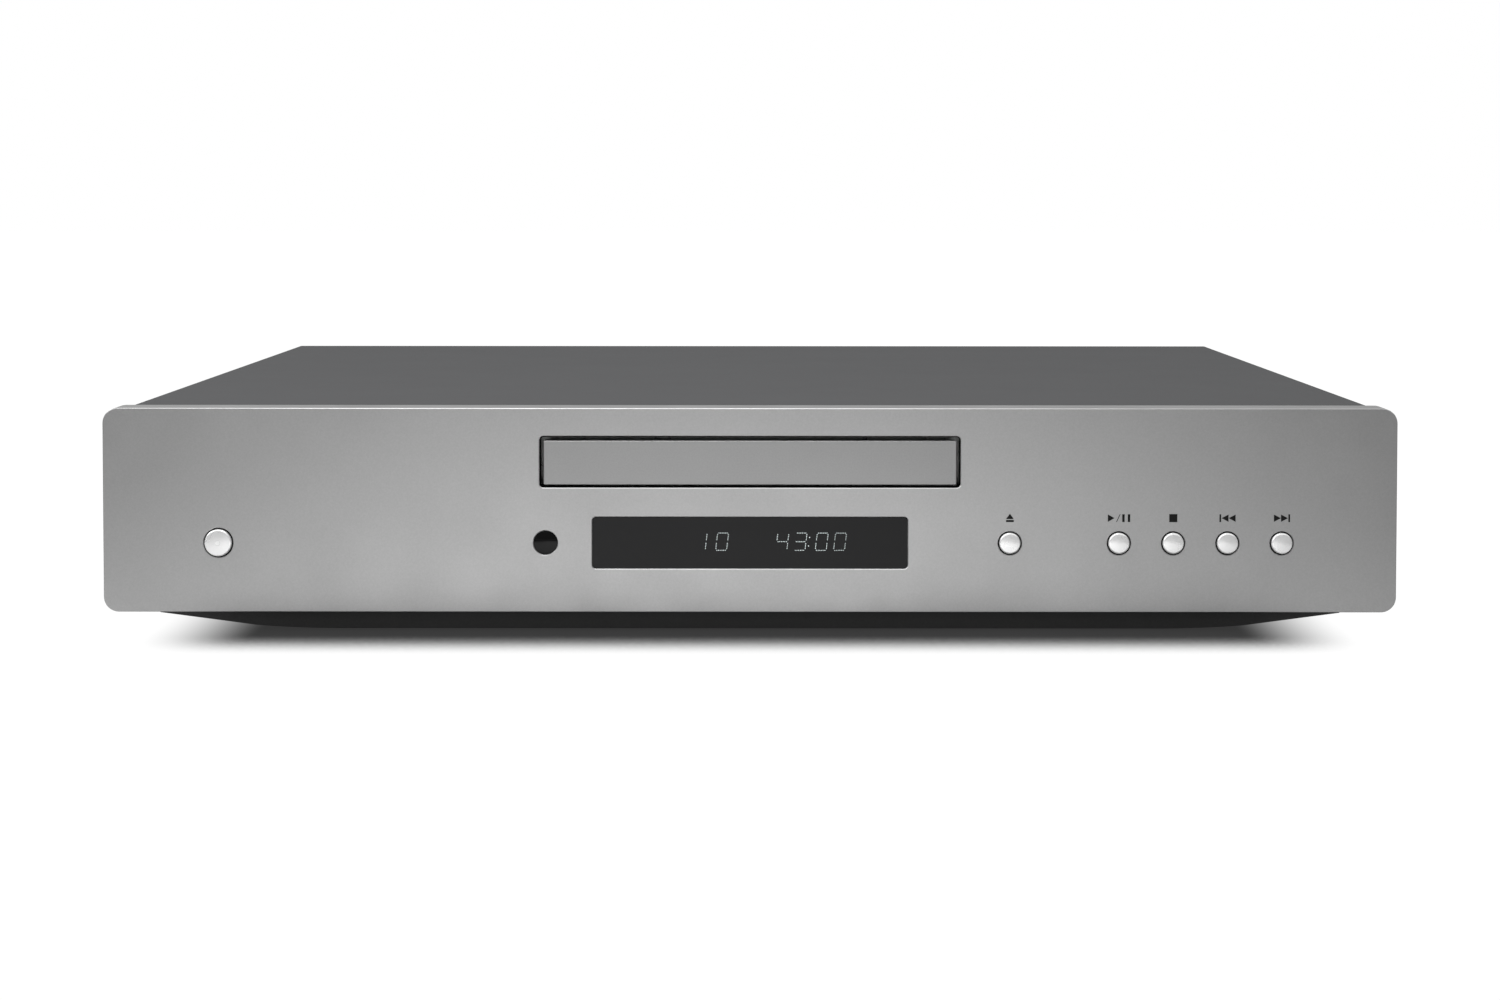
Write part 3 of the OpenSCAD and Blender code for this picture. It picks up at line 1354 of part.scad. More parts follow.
// A flat cable from the display board to the main board, another from the loader, and the mains leads
module inner_cables() {
    half = 9;
    at_x = 120;
    back_y = face_y + board_y + board_t;
    drop_y = [bracket_back_y + 3, bracket_back_y + 3 + cable_t];
    floor_z = [base_z1 + sheet_t + 0.3, base_z1 + sheet_t + 0.3 + cable_t];
    end_y = main_y[0] - 3;
    plug_z = [board_z1, board_z1 + 6];
    color("#d9d9d4") {
        box([at_x - half, at_x + half], [back_y, drop_y[1]], [controls_z - cable_t / 2, controls_z + cable_t / 2]);
        box([at_x - half, at_x + half], drop_y, [floor_z[0], controls_z + cable_t / 2]);
        box([at_x - half, at_x + half], [drop_y[0], end_y], floor_z);
        box([at_x - half, at_x + half], [end_y - cable_t, end_y], [floor_z[0], plug_z[1]]);
        box([at_x - half, at_x + half], [end_y - cable_t, main_y[0] + 8], [plug_z[1] - cable_t, plug_z[1]]);
        box([at_x - half, at_x + half], [main_y[0] + 3, main_y[0] + 8], plug_z);
        box([side_strip_x + 2, main_x[0] + 12], loader_cable_y, [tray_z + frame_z0 - cable_t, tray_z + frame_z0]);
        box([main_x[0] + 7, main_x[0] + 12], loader_cable_y, [board_z1, tray_z + frame_z0]);
        for (k = [-1, 1]) {
            pin = [-inlet_x + 7 * k, inlet_back_y, inlet_z - 2];
            lane = -inner_x + 4 + 2 * (1 + k);
            lead([
                pin, [pin[0], inlet_back_y - 5 + 3 * k, pin[2]], [lane, inlet_back_y - 5 + 3 * k, pin[2]],
                [lane, power_y[1] - 8, pin[2]], [power_x[0] + 6 + 5 * k, power_y[1] - 8, pin[2]],
                [power_x[0] + 6 + 5 * k, power_y[1] - 8, board_z1]
            ], 1);
        }
    }
}

front_panel();
display_window();
sensor_window();
front_bracket();
top_cover();
chassis_base();
rear_panel();
front_plinth();
rear_feet();
foot_pads();
cover_screws();
chassis_screws();
color("#e8e9ea") button(-button_end_x, standby_r);  // standby_button
standby_light_pipe();
color("#e8e9ea") button(eject_x, button_r);  // eject_button
color("#e8e9ea") button(small_button_x(3), button_r);  // play_button
color("#e8e9ea") button(small_button_x(2), button_r);  // stop_button
color("#e8e9ea") button(small_button_x(1), button_r);  // previous_button
color("#e8e9ea") button(small_button_x(0), button_r);  // next_button
display_board();
display_tube();
switch_bodies();
remote_sensor();
disc_tray();
tray_front();
loader_frame();
loader_legs();
clamp_bridge();
clamp_puck();
clamp_magnet();
clamp_yoke();
drive_gear();
pulley_gear();
motor_pulley();
drive_belt();
loading_motor();
cam_slider();
pickup_frame();
spindle_motor();
turntable();
guide_rods();
optical_pickup();
lens_holder();
sled_motor();
sled_pinion();
sled_gear();
main_board();
main_board_chips();
capacitors();
heat_sink();
power_board();
transformer();
transformer_clamp();
mains_inlet();
inlet_pins();
socket_housings();
socket_sleeves();
socket_insulators();
inner_cables();
board_spacers();
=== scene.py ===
import json
import math

import bmesh
import bpy
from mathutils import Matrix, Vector


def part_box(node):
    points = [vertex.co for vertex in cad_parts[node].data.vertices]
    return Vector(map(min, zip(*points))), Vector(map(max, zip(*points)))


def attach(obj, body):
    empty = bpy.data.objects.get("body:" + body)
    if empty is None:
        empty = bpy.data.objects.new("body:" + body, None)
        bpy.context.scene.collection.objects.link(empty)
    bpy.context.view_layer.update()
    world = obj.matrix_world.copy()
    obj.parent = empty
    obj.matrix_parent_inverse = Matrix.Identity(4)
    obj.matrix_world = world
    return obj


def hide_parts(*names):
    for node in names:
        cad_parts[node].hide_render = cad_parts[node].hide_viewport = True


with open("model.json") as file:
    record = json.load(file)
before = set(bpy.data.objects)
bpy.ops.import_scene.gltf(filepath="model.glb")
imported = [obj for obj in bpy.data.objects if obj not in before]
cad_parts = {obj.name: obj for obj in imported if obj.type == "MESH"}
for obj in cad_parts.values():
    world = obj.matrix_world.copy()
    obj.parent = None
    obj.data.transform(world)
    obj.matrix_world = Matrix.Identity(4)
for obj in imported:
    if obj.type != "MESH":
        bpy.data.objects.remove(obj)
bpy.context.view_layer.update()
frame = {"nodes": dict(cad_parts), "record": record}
nodes = frame["nodes"]
scene = bpy.context.scene
scene.view_settings.view_transform = "Standard"

MM = 0.001
WHITE = (1, 1, 1, 1)


# ------------------------------------------------------------------ helpers
def add_node(tree, kind, inputs=(), **settings):
    """Adds a node with these settings. An input is a socket to link from, or a value."""
    node = tree.nodes.new(kind)
    for key, value in settings.items():
        setattr(node, key, value)
    for key, value in inputs:
        if hasattr(value, "node"):
            tree.links.new(value, node.inputs[key])
        else:
            node.inputs[key].default_value = value
    return node


def set_ramp(ramp_node, stops):
    """Gives a colour ramp these (position, grey level) stops"""
    elements = ramp_node.color_ramp.elements
    while len(elements) < len(stops):
        elements.new(0.5)
    for element, (at, level) in zip(elements, stops):
        element.position = at
        element.color = (level, level, level, 1)


def mesh_object(name, verts, faces):
    mesh = bpy.data.meshes.new(name)
    mesh.from_pydata([tuple(v) for v in verts], [], faces)
    mesh.validate()
    mesh.update()
    obj = bpy.data.objects.new(name, mesh)
    scene.collection.objects.link(obj)
    return obj


def middle(name):
    low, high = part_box(name)
    return (low + high) / 2


# ------------------------------------------------------------------ camera
FOCAL_LENGTH = 54.58
SENSOR_WIDTH = 36
SHIFT = (-0.00633, -0.1634)
CAMERA_AT = (0.0031, -0.9040, 0.1496)
# Degrees below the horizon, and degrees about the line of sight
PITCH = 1.8
ROLL = -0.035
NEAREST = 0.01

cam_data = bpy.data.cameras.new("camera")
cam_data.sensor_width = SENSOR_WIDTH
cam_data.lens = FOCAL_LENGTH
cam_data.shift_x, cam_data.shift_y = SHIFT
cam_data.clip_start = NEAREST
camera = bpy.data.objects.new("camera", cam_data)
camera.location = CAMERA_AT
camera.rotation_euler = (math.radians(90 - PITCH), math.radians(ROLL), 0)
scene.collection.objects.link(camera)
scene.camera = camera


# ------------------------------------------------------------------ lamps
def softbox(name, at, towards, size, power):
    data = bpy.data.lights.new(name, "AREA")
    data.shape = "RECTANGLE"
    data.size, data.size_y = size
    data.energy = power
    lamp = bpy.data.objects.new(name, data)
    lamp.location = at
    lamp.rotation_euler = (Vector(towards) - Vector(at)).to_track_quat("-Z", "Y").to_euler()
    scene.collection.objects.link(lamp)


softbox("softbox_top", (-0.12, -0.22, 0.66), (-0.08, -0.1, 0), (0.5, 0.4), 1.7)
softbox("softbox_left", (-1.3, -0.5, 0.9), (0, 0, 0.04), (0.8, 0.8), 7)

# ------------------------------------------------------------------ world
# Levels of the room from straight down (0) to straight up (1): a dim band at the horizon and a bright ceiling
ROOM_LEVELS = [(0.0, 0.70), (0.08, 0.33), (0.45, 0.33), (0.56, 1.15), (0.75, 1.15), (0.90, 1.05)]

world = bpy.data.worlds.new("studio")
scene.world = world
world.use_nodes = True
sky = world.node_tree
sky.nodes.clear()
sky_place = add_node(sky, "ShaderNodeTexCoord").outputs["Generated"]
sky_height = add_node(sky, "ShaderNodeSeparateXYZ", [(0, sky_place)]).outputs["Z"]
sky_levels = add_node(sky, "ShaderNodeValToRGB", [("Fac", sky_height)])
set_ramp(sky_levels, ROOM_LEVELS)
sky_room = add_node(sky, "ShaderNodeBackground", [("Color", sky_levels.outputs["Color"])])
sky_seen = add_node(sky, "ShaderNodeBackground", [("Color", WHITE)])
sky_path = add_node(sky, "ShaderNodeLightPath")
sky_mix = add_node(sky, "ShaderNodeMixShader", [
    (0, sky_path.outputs["Is Camera Ray"]), (1, sky_room.outputs[0]), (2, sky_seen.outputs[0])])
add_node(sky, "ShaderNodeOutputWorld", [("Surface", sky_mix.outputs[0])])

# ------------------------------------------------------------------ floor
FLOOR_HALF = 6.0
SHADOW_REACH = 0.05
SHADOW_SAMPLES = 16
# Half widths between which the shadow fades out, because the plinth rises there
SHADOW_ENDS = (0.163, 0.203)
# The floor's level by how open it is: dark under the plinth, white in the open
SHADOW_LEVELS = [(0.0, 0.038), (0.563, 0.044), (0.637, 0.076), (0.707, 0.18),
                 (0.744, 0.40), (0.797, 0.70), (0.845, 0.90), (0.90, 1.0)]
SEEN_STRENGTH = 1.03
# Mirrors and rough metal see a pool of light painted on the floor, darkened by the painted shadow: its shift from the
# middle, squash, reach, and levels inside and outside
POOL_SHIFT = (0.018, 0.25, 0)
POOL_SQUASH = (1.0, 0.24, 1.0)
POOL_REACH = 0.44
POOL_LEVELS = (1.12, 0.20)

floor = mesh_object("floor", [(-FLOOR_HALF, -FLOOR_HALF, 0), (FLOOR_HALF, -FLOOR_HALF, 0),
                              (FLOOR_HALF, FLOOR_HALF, 0), (-FLOOR_HALF, FLOOR_HALF, 0)], [(0, 1, 2, 3)])
floor_mat = bpy.data.materials.new("floor")
floor_mat.use_nodes = True
ground = floor_mat.node_tree
ground.nodes.clear()


def blend_down(value, near, far, high, low):
    """high up to near, low from far on, and a smooth step between them"""
    return add_node(ground, "ShaderNodeMapRange", [
        ("Value", value), ("From Min", near), ("From Max", far), ("To Min", high), ("To Max", low)],
        interpolation_type="SMOOTHSTEP").outputs[0]


def vector_math(operation, *inputs):
    return add_node(ground, "ShaderNodeVectorMath", enumerate(inputs), operation=operation).outputs


place = add_node(ground, "ShaderNodeTexCoord").outputs["Object"]
axes = add_node(ground, "ShaderNodeSeparateXYZ", [(0, place)])
sideways = add_node(ground, "ShaderNodeMath", [(0, axes.outputs["X"])], operation="ABSOLUTE").outputs[0]
shadow_part = blend_down(sideways, *SHADOW_ENDS, 1.0, 0.0)
openness = add_node(ground, "ShaderNodeAmbientOcclusion", [("Distance", SHADOW_REACH)], samples=SHADOW_SAMPLES)
shadow = add_node(ground, "ShaderNodeValToRGB", [("Fac", openness.outputs["AO"])])
set_ramp(shadow, SHADOW_LEVELS)
shade = add_node(ground, "ShaderNodeMix", [(0, shadow_part), (2, 1.0), (3, shadow.outputs["Color"])]).outputs[0]
# The floor's colour for other rays: a painted pool of light, times the painted shadow
pool = vector_math("ADD", place, POOL_SHIFT)[0]
pool = vector_math("MULTIPLY", pool, POOL_SQUASH)[0]
pool = vector_math("LENGTH", pool)["Value"]
pool = blend_down(pool, 0.0, POOL_REACH, *POOL_LEVELS)
pool = add_node(ground, "ShaderNodeMath", [(0, pool), (1, shade)], operation="MULTIPLY").outputs[0]
seen = add_node(ground, "ShaderNodeEmission", [("Color", shade), ("Strength", SEEN_STRENGTH)])
mirrored = add_node(ground, "ShaderNodeBsdfDiffuse", [("Color", pool)])
path = add_node(ground, "ShaderNodeLightPath")
ground_mix = add_node(ground, "ShaderNodeMixShader", [
    (0, path.outputs["Is Camera Ray"]), (1, mirrored.outputs[0]), (2, seen.outputs[0])])
add_node(ground, "ShaderNodeOutputMaterial", [("Surface", ground_mix.outputs[0])])
floor.data.materials.append(floor_mat)

# ------------------------------------------------------------------ materials
IOR = 1.45
COAT_ROUGHNESS = 0.2
SMOOTHEST = 0.02
# The part of a noise's range that is spread over the full change of colour or roughness
NOISE_SPAN = (0.25, 0.75)
GRAIN_DETAIL = 2.0
CLOUD_DETAIL = 3.0
# How many times finer than the cloud the roughness varies
ROUGHNESS_SCALE = 6

finishes = {}


def material(name, color, rough=0.5, metallic=0.0, spec=0.5, grain=(900, 0.03), cloud=(9, 0.03),
             rough_var=0.05, bump=(2500, 0.06, 0.02), coat=0.0, emission=None, stretch=None):
    """Principled material whose colour, roughness and relief vary at the scale of the real finish.
    grain and cloud are (scale, change of colour), bump is (scale, strength, millimetres)."""
    m = bpy.data.materials.new(name)
    m.use_nodes = True
    tree = m.node_tree
    bsdf = tree.nodes["Principled BSDF"]
    bsdf.inputs["Metallic"].default_value = metallic
    bsdf.inputs["Specular IOR Level"].default_value = spec
    bsdf.inputs["IOR"].default_value = IOR
    bsdf.inputs["Coat Weight"].default_value = coat
    bsdf.inputs["Coat Roughness"].default_value = COAT_ROUGHNESS
    if emission:
        bsdf.inputs["Emission Color"].default_value = emission[0] + (1,)
        bsdf.inputs["Emission Strength"].default_value = emission[1]
    source = add_node(tree, "ShaderNodeTexCoord").outputs["Object"]
    if stretch:
        source = add_node(tree, "ShaderNodeMapping", [("Vector", source), ("Scale", stretch)]).outputs["Vector"]

    def noise(scale, detail):
        return add_node(tree, "ShaderNodeTexNoise", [
            ("Vector", source), ("Scale", scale), ("Detail", detail)]).outputs["Fac"]

    def spread(value, low, high):
        return add_node(tree, "ShaderNodeMapRange", [
            ("Value", value), ("From Min", NOISE_SPAN[0]), ("From Max", NOISE_SPAN[1]),
            ("To Min", low), ("To Max", high)]).outputs["Result"]

    fine = spread(noise(grain[0], GRAIN_DETAIL), 1 - grain[1], 1 + grain[1])
    soft = spread(noise(cloud[0], CLOUD_DETAIL), 1 - cloud[1], 1 + cloud[1])
    both = add_node(tree, "ShaderNodeMath", [(0, fine), (1, soft)], operation="MULTIPLY")
    tint = add_node(tree, "ShaderNodeVectorMath", [(0, color), ("Scale", both.outputs[0])], operation="SCALE")
    roughness = spread(noise(cloud[0] * ROUGHNESS_SCALE, CLOUD_DETAIL),
                       max(SMOOTHEST, rough - rough_var), min(1.0, rough + rough_var))
    relief = add_node(tree, "ShaderNodeBump", [
        ("Strength", bump[1]), ("Distance", bump[2] * MM), ("Height", noise(bump[0], GRAIN_DETAIL))])
    tree.links.new(tint.outputs["Vector"], bsdf.inputs["Base Color"])
    tree.links.new(roughness, bsdf.inputs["Roughness"])
    tree.links.new(relief.outputs["Normal"], bsdf.inputs["Normal"])
    finishes[name] = m
    return m


def grey(level):
    """Linear grey of an 8-bit display level"""
    c = level / 255
    c = c / 12.92 if c <= 0.04045 else ((c + 0.055) / 1.055) ** 2.4
    return (c, c, c)


# Reliefs that several finishes share
BRUSHED = dict(grain=(1800, 0.045), cloud=(7, 0.02), bump=(2600, 0.10, 0.02))
PAINTED = dict(grain=(1500, 0.10), bump=(1800, 0.25, 0.03))
MOULDED = dict(grain=(900, 0.1), bump=(1400, 0.2, 0.03))
PRINTED = dict(grain=(1500, 0.1), bump=(2500, 0.1, 0.01))

# Outside of the case
material("tray_metal", grey(157), 0.40, 1.0, **BRUSHED)
material("fascia_metal", grey(176), 0.40, 1.0, **BRUSHED)
material("cover_paint", (0.053, 0.054, 0.056), 0.62, 0.0, 0.3, cloud=(6, 0.015), rough_var=0.012, **PAINTED)
material("rear_paint", (0.035, 0.036, 0.038), 0.6, 0.0, 0.35, **PAINTED)
material("plinth_plastic", grey(53), 0.55, 0.0, 0.3, grain=(1200, 0.08), bump=(1500, 0.25, 0.03))
material("foot_rubber", (0.012, 0.012, 0.012), 0.8, 0.0, 0.3, grain=(800, 0.15), bump=(1500, 0.4, 0.05))
material("plated_steel", (0.50, 0.51, 0.50), 0.32, 1.0, grain=(300, 0.06), cloud=(25, 0.08), rough_var=0.1)
material("screw_steel", (0.06, 0.06, 0.063), 0.38, 1.0, grain=(1500, 0.1))
material("button_metal", grey(242), 0.26, 0.6, 0.5, grain=(2500, 0.02), bump=(3000, 0.03, 0.01))
material("smoked_window", (0.0048, 0.0048, 0.0053), 0.12, 0.0, 0.235, grain=(600, 0.05), rough_var=0.02,
         bump=(900, 0.01, 0.01))
material("sensor_window", (0.0008, 0.0008, 0.0009), 0.04, 0.0, 0.26, grain=(600, 0.03), bump=(900, 0.01, 0.01))
material("light_pipe", (0.9, 0.9, 0.9), 0.2, 0.0, 0.5, grain=(900, 0.02), bump=(900, 0.02, 0.01),
         emission=((1.0, 1.0, 1.0), 0.03))
# A near-black finish that paints the shade in the gaps round the buttons and inside the drawer opening
material("painted_gap_shade", (0.0022, 0.0022, 0.0023), 0.85, 0.0, 0.08, **MOULDED)
material("rear_ink", grey(150), 0.6, 0.0, 0.2, **PRINTED)
material("print_ink", grey(18), 0.6, 0.0, 0.2, **PRINTED)
material("socket_gold", (0.83, 0.62, 0.25), 0.2, 1.0, grain=(900, 0.05))
material("socket_colour", (0.6, 0.6, 0.6), 0.35, 0.0, 0.5, grain=(700, 0.05))
material("contact_brass", (0.70, 0.66, 0.5), 0.25, 1.0, grain=(900, 0.05))
# Drawer, loader and pickup
material("black_plastic", (0.018, 0.018, 0.019), 0.5, 0.0, 0.4, **MOULDED)
material("tray_plastic", (0.022, 0.022, 0.024), 0.45, 0.0, 0.4, grain=(900, 0.1), bump=(1400, 0.25, 0.03))
material("gear_plastic", (0.72, 0.70, 0.64), 0.5, 0.0, 0.4, grain=(700, 0.05), bump=(1400, 0.15, 0.02))
material("belt_rubber", (0.014, 0.014, 0.014), 0.7, 0.0, 0.3, grain=(900, 0.15))
material("magnet", (0.10, 0.10, 0.105), 0.5, 1.0, grain=(900, 0.12))
material("motor_steel", (0.45, 0.45, 0.46), 0.35, 1.0, grain=(900, 0.08), rough_var=0.1)
material("rod_steel", (0.6, 0.6, 0.62), 0.18, 1.0, grain=(900, 0.04))
material("pickup_alloy", (0.32, 0.32, 0.33), 0.45, 1.0, grain=(900, 0.12), bump=(1200, 0.2, 0.05))
material("lens_plastic", (0.04, 0.05, 0.08), 0.12, 0.0, 0.6, grain=(900, 0.05), coat=0.5)
# Electronics
material("circuit_board", (0.03, 0.10, 0.045), 0.4, 0.0, 0.5, grain=(600, 0.15), cloud=(60, 0.15))
material("display_glass", (0.02, 0.022, 0.022), 0.15, 0.0, 0.5, grain=(900, 0.05), bump=(2000, 0.05, 0.02))
material("brass_spacer", (0.62, 0.44, 0.16), 0.3, 1.0, grain=(900, 0.06))
material("capacitor_sleeve", (0.02, 0.035, 0.09), 0.35, 0.0, 0.5, grain=(500, 0.08))
material("heat_sink_metal", (0.5, 0.5, 0.5), 0.4, 1.0, grain=(700, 0.08), stretch=(1, 1, 0.05))
material("winding", (0.45, 0.27, 0.08), 0.3, 0.7, grain=(600, 0.2), cloud=(80, 0.1), bump=(700, 0.5, 0.3))
material("cable_plastic", (0.25, 0.25, 0.26), 0.45, 0.0, 0.4, grain=(500, 0.08))

# The plastic in each socket has its own colour: two audio sockets over each other, and a digital one beside them
SOCKET_WHITE = (0.72, 0.72, 0.70, 1)
SOCKET_RED = (0.45, 0.02, 0.02, 1)
SOCKET_ORANGE = (0.70, 0.22, 0.03, 1)
UPPER_SOCKET_Z = 0.033
AUDIO_SOCKET_X = 0.14


def colour_by_socket(tree):
    """Feeds the material's tint with the colour of the socket that a point belongs to"""
    spot = add_node(tree, "ShaderNodeTexCoord").outputs["Object"]
    xyz = add_node(tree, "ShaderNodeSeparateXYZ", [(0, spot)])

    def choose(axis, limit, below, above):
        over = add_node(tree, "ShaderNodeMath", [(0, xyz.outputs[axis]), (1, limit)], operation="GREATER_THAN")
        return add_node(tree, "ShaderNodeMix", [
            ("Factor", over.outputs[0]), ("A", below), ("B", above)], data_type="RGBA").outputs["Result"]

    tint = next(n for n in tree.nodes if n.type == "VECT_MATH")
    audio = choose("Z", UPPER_SOCKET_Z, SOCKET_RED, SOCKET_WHITE)
    tree.links.new(choose("X", AUDIO_SOCKET_X, SOCKET_ORANGE, audio), tint.inputs[0])


colour_by_socket(finishes["socket_colour"].node_tree)

# Finishes that don't have the name of the record's slot, or differ from it on one node
SLOT_FINISHES = {"clear_plastic": "light_pipe"}
NODE_FINISHES = {"sensor_window": "sensor_window", "tray_front": "tray_metal"}
for entry in frame["record"]["subparts"]:
    slot = entry["material_slot"]
    finish = NODE_FINISHES.get(entry["node"], SLOT_FINISHES.get(slot, slot))
    mesh = nodes[entry["node"]].data
    mesh.materials.clear()
    mesh.materials.append(finishes[finish])

# ------------------------------------------------------------------ edges of the CAD pieces
# Degrees: a sharper turn is a hard edge in the shading, a gentler one is part of an arc
SHARP_TURN = 28
# Degrees: turns that get a bevel, and faces that count as one flat face
BEVEL_TURN = 35
FLAT_TURN = 0.3
WELD_REACH = 2e-6


def angle_shading():
    """A node group that drops a piece's stored normals and shades it anew: hard over sharp turns, smooth over arcs"""
    group = bpy.data.node_groups.new("shade_by_angle", "GeometryNodeTree")
    for way in ("INPUT", "OUTPUT"):
        group.interface.new_socket("Geometry", in_out=way, socket_type="NodeSocketGeometry")
    start = add_node(group, "NodeGroupInput")
    bare = add_node(group, "GeometryNodeRemoveAttribute", [("Geometry", start.outputs[0]), ("Name", "custom_normal")])
    turn = add_node(group, "GeometryNodeInputMeshEdgeAngle").outputs["Unsigned Angle"]
    gentle = add_node(group, "FunctionNodeCompare", [(0, turn), (1, math.radians(SHARP_TURN))],
                      data_type="FLOAT", operation="LESS_THAN")
    faces = add_node(group, "GeometryNodeSetShadeSmooth", [("Geometry", bare.outputs[0])], domain="FACE")
    edges = add_node(group, "GeometryNodeSetShadeSmooth", [
        ("Geometry", faces.outputs[0]), ("Shade Smooth", gentle.outputs[0])], domain="EDGE")
    add_node(group, "NodeGroupOutput", [(0, edges.outputs[0])])
    return group


shade_by_angle = angle_shading()


def soften(name, width, segments, clamp=False):
    """Merges the split corners and flat triangles of a CAD piece and bevels its sharp edges, by width in millimetres.
    One segment is a flat chamfer with hard edges. More segments look round, and the big faces stay flat."""
    obj = nodes[name]
    is_round = segments > 1
    weld = obj.modifiers.new("weld", "WELD")
    weld.merge_threshold = WELD_REACH
    flat = obj.modifiers.new("flat", "DECIMATE")
    flat.decimate_type = "DISSOLVE"
    flat.angle_limit = math.radians(FLAT_TURN)
    if is_round:
        obj.modifiers.new("shade", "NODES").node_group = shade_by_angle
    bevel = obj.modifiers.new("bevel", "BEVEL")
    bevel.width = width * MM
    bevel.segments = segments
    bevel.limit_method = "ANGLE"
    bevel.angle_limit = math.radians(BEVEL_TURN)
    bevel.harden_normals = is_round
    bevel.use_clamp_overlap = clamp
    if not is_round:
        obj.modifiers.new("shade", "NODES").node_group = shade_by_angle


soften("front_panel", 0.22, 1)
soften("tray_front", 0.3, 1)
soften("top_cover", 0.3, 2)
soften("disc_tray", 0.25, 2)
soften("mains_inlet", 0.3, 2)
soften("front_plinth", 0.5, 3, clamp=True)

# ------------------------------------------------------------------ new pieces
FACE_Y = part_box("front_panel")[0].y
# Degrees: a sharper turn between two faces of a turned piece is a hard edge
LATHE_TURN = 40
LATHE_SIDES = 72


def new_piece(name, verts, faces, mat, body, smooth=False):
    """A visible piece with outward faces, in the finish given. It rides on a body."""
    obj = mesh_object(name, verts, faces)
    bm = bmesh.new()
    bm.from_mesh(obj.data)
    bmesh.ops.recalc_face_normals(bm, faces=bm.faces)
    if smooth:
        for face in bm.faces:
            face.smooth = True
        for edge in bm.edges:
            if len(edge.link_faces) == 2 and edge.calc_face_angle() > math.radians(LATHE_TURN):
                edge.smooth = False
    bm.to_mesh(obj.data)
    bm.free()
    obj.data.materials.append(mat)
    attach(obj, body)
    return obj


def lathe(name, profile, at, mat, body, closed=False):
    """Turns (radius, depth) points about the y axis through at. They are in millimetres, and depth goes rearwards."""
    sides = range(LATHE_SIDES)
    verts, rows = [], []
    for r, d in profile:
        if r == 0:
            rows.append([len(verts)] * LATHE_SIDES)
            verts.append(at + Vector((0, d * MM, 0)))
        else:
            rows.append([len(verts) + k for k in sides])
            angles = [math.tau * k / LATHE_SIDES for k in sides]
            verts += [at + Vector((r * math.cos(a), d, r * math.sin(a))) * MM for a in angles]
    faces = []
    for a, b in list(zip(rows, rows[1:])) + ([(rows[-1], rows[0])] if closed else []):
        for k in sides:
            n = (k + 1) % LATHE_SIDES
            corners = [a[k], b[k], b[n], a[n]]
            faces.append([v for i, v in enumerate(corners) if v not in corners[:i]])
    faces = [f for f in faces if len(f) > 2]
    return new_piece(name, verts, faces, mat, body, smooth=True)


def dome(radius, crown, steps=14):
    """Profile of a shallow dome, from its middle to its rim"""
    return [(radius * i / steps, crown * (i / steps) ** 2) for i in range(steps + 1)]


# ------------------------------------------------------------------ sensor lens
LENS_R = 3.95
LENS_CROWN = 0.72
LENS_REAR = 0.76
LENS_STANDS_OUT = 0.35
LENS_STEPS = 24

lens_at = middle("sensor_window")
lens_at.y = FACE_Y - LENS_STANDS_OUT * MM
lathe("sensor_lens", dome(LENS_R, LENS_CROWN, LENS_STEPS) + [(LENS_R, LENS_REAR), (0, LENS_REAR)], lens_at,
      finishes["sensor_window"], "root")

# ------------------------------------------------------------------ button caps, and dark rings of painted shade round them
BUTTONS = {"standby": 4.5, "eject": 3.5, "play": 3.5, "stop": 3.5, "previous": 3.5, "next": 3.5}
# Width of a cap's rounded rim, how far its crown stands out, and the degrees that the rim turns through
RIM = 0.5
CROWN = 0.38
RIM_TURNS = range(17, 83, 6)
FLANGE_Y = (4.3, 5.1)
STEM_R = 1.3
# The hole in the standby cap that shows the light pipe: its radius, how far its floor lies before the cap's rear, and
# the width and rise of its edge
HOLE_R = 0.83
HOLE_FLOOR = 2
HOLE_EDGE = 0.05
HOLE_EDGE_RISE = 0.004
# The painted-shade ring's radii past the cap's, and its depths behind the face
RING_GAP = (0.06, 0.44)
RING_Y = (0.42, 1.6)

for key, radius in BUTTONS.items():
    node = key + "_button"
    low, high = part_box(node)
    front = Vector(((low.x + high.x) / 2, low.y, (low.z + high.z) / 2))
    deep = (high.y - low.y) / MM
    flange_r = (high.x - low.x) / 2 / MM
    has_hole = key == "standby"
    crown = dome(radius - RIM, CROWN)
    if has_hole:
        crown = [p for p in crown if p[0] > HOLE_R]
        lip = crown[0][1]
        crown = [(HOLE_R, deep - HOLE_FLOOR), (HOLE_R, lip + HOLE_EDGE),
                 (HOLE_R + HOLE_EDGE, lip - HOLE_EDGE_RISE)] + crown
    turns = [math.radians(d) for d in RIM_TURNS]
    arc = RIM / (math.sin(turns[-1]) - math.sin(turns[0]))
    rim = [(radius - RIM + arc * (math.sin(a) - math.sin(turns[0])), CROWN + arc * (math.cos(turns[0]) - math.cos(a)))
           for a in turns[1:]]
    stem = [(radius, FLANGE_Y[0]), (flange_r, FLANGE_Y[0]), (flange_r, FLANGE_Y[1]), (STEM_R, FLANGE_Y[1]),
            (STEM_R, deep), (HOLE_R if has_hole else 0, deep)]
    cap = lathe(node + "_cap", crown + rim + stem, front, finishes["button_metal"], key + "_key",
                closed=has_hole)
    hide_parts(node)
    # A near-black ring behind each cap's gap paints the shade there
    inside, outside = (radius + gap for gap in RING_GAP)
    ring = [(inside, RING_Y[0]), (outside, RING_Y[0]), (outside, RING_Y[1]), (inside, RING_Y[1])]
    lathe(key + "_shade", ring, Vector((front.x, FACE_Y, front.z)), finishes["painted_gap_shade"], "root",
          closed=True)

# ------------------------------------------------------------------ dark sheet of painted shade inside the drawer opening
# Edges and corner radius of the opening, then the sheet's depths behind the face and its distances from the edges
OPENING_X = (-70.0, 70.0)
OPENING_Z = (48.5, 65.7)
OPENING_R = 1.4
SHADE_SHEET_Y = (0.42, 3.2)
SHADE_SHEET_INSET = (0.02, 0.3)
CORNER_STEPS = 6


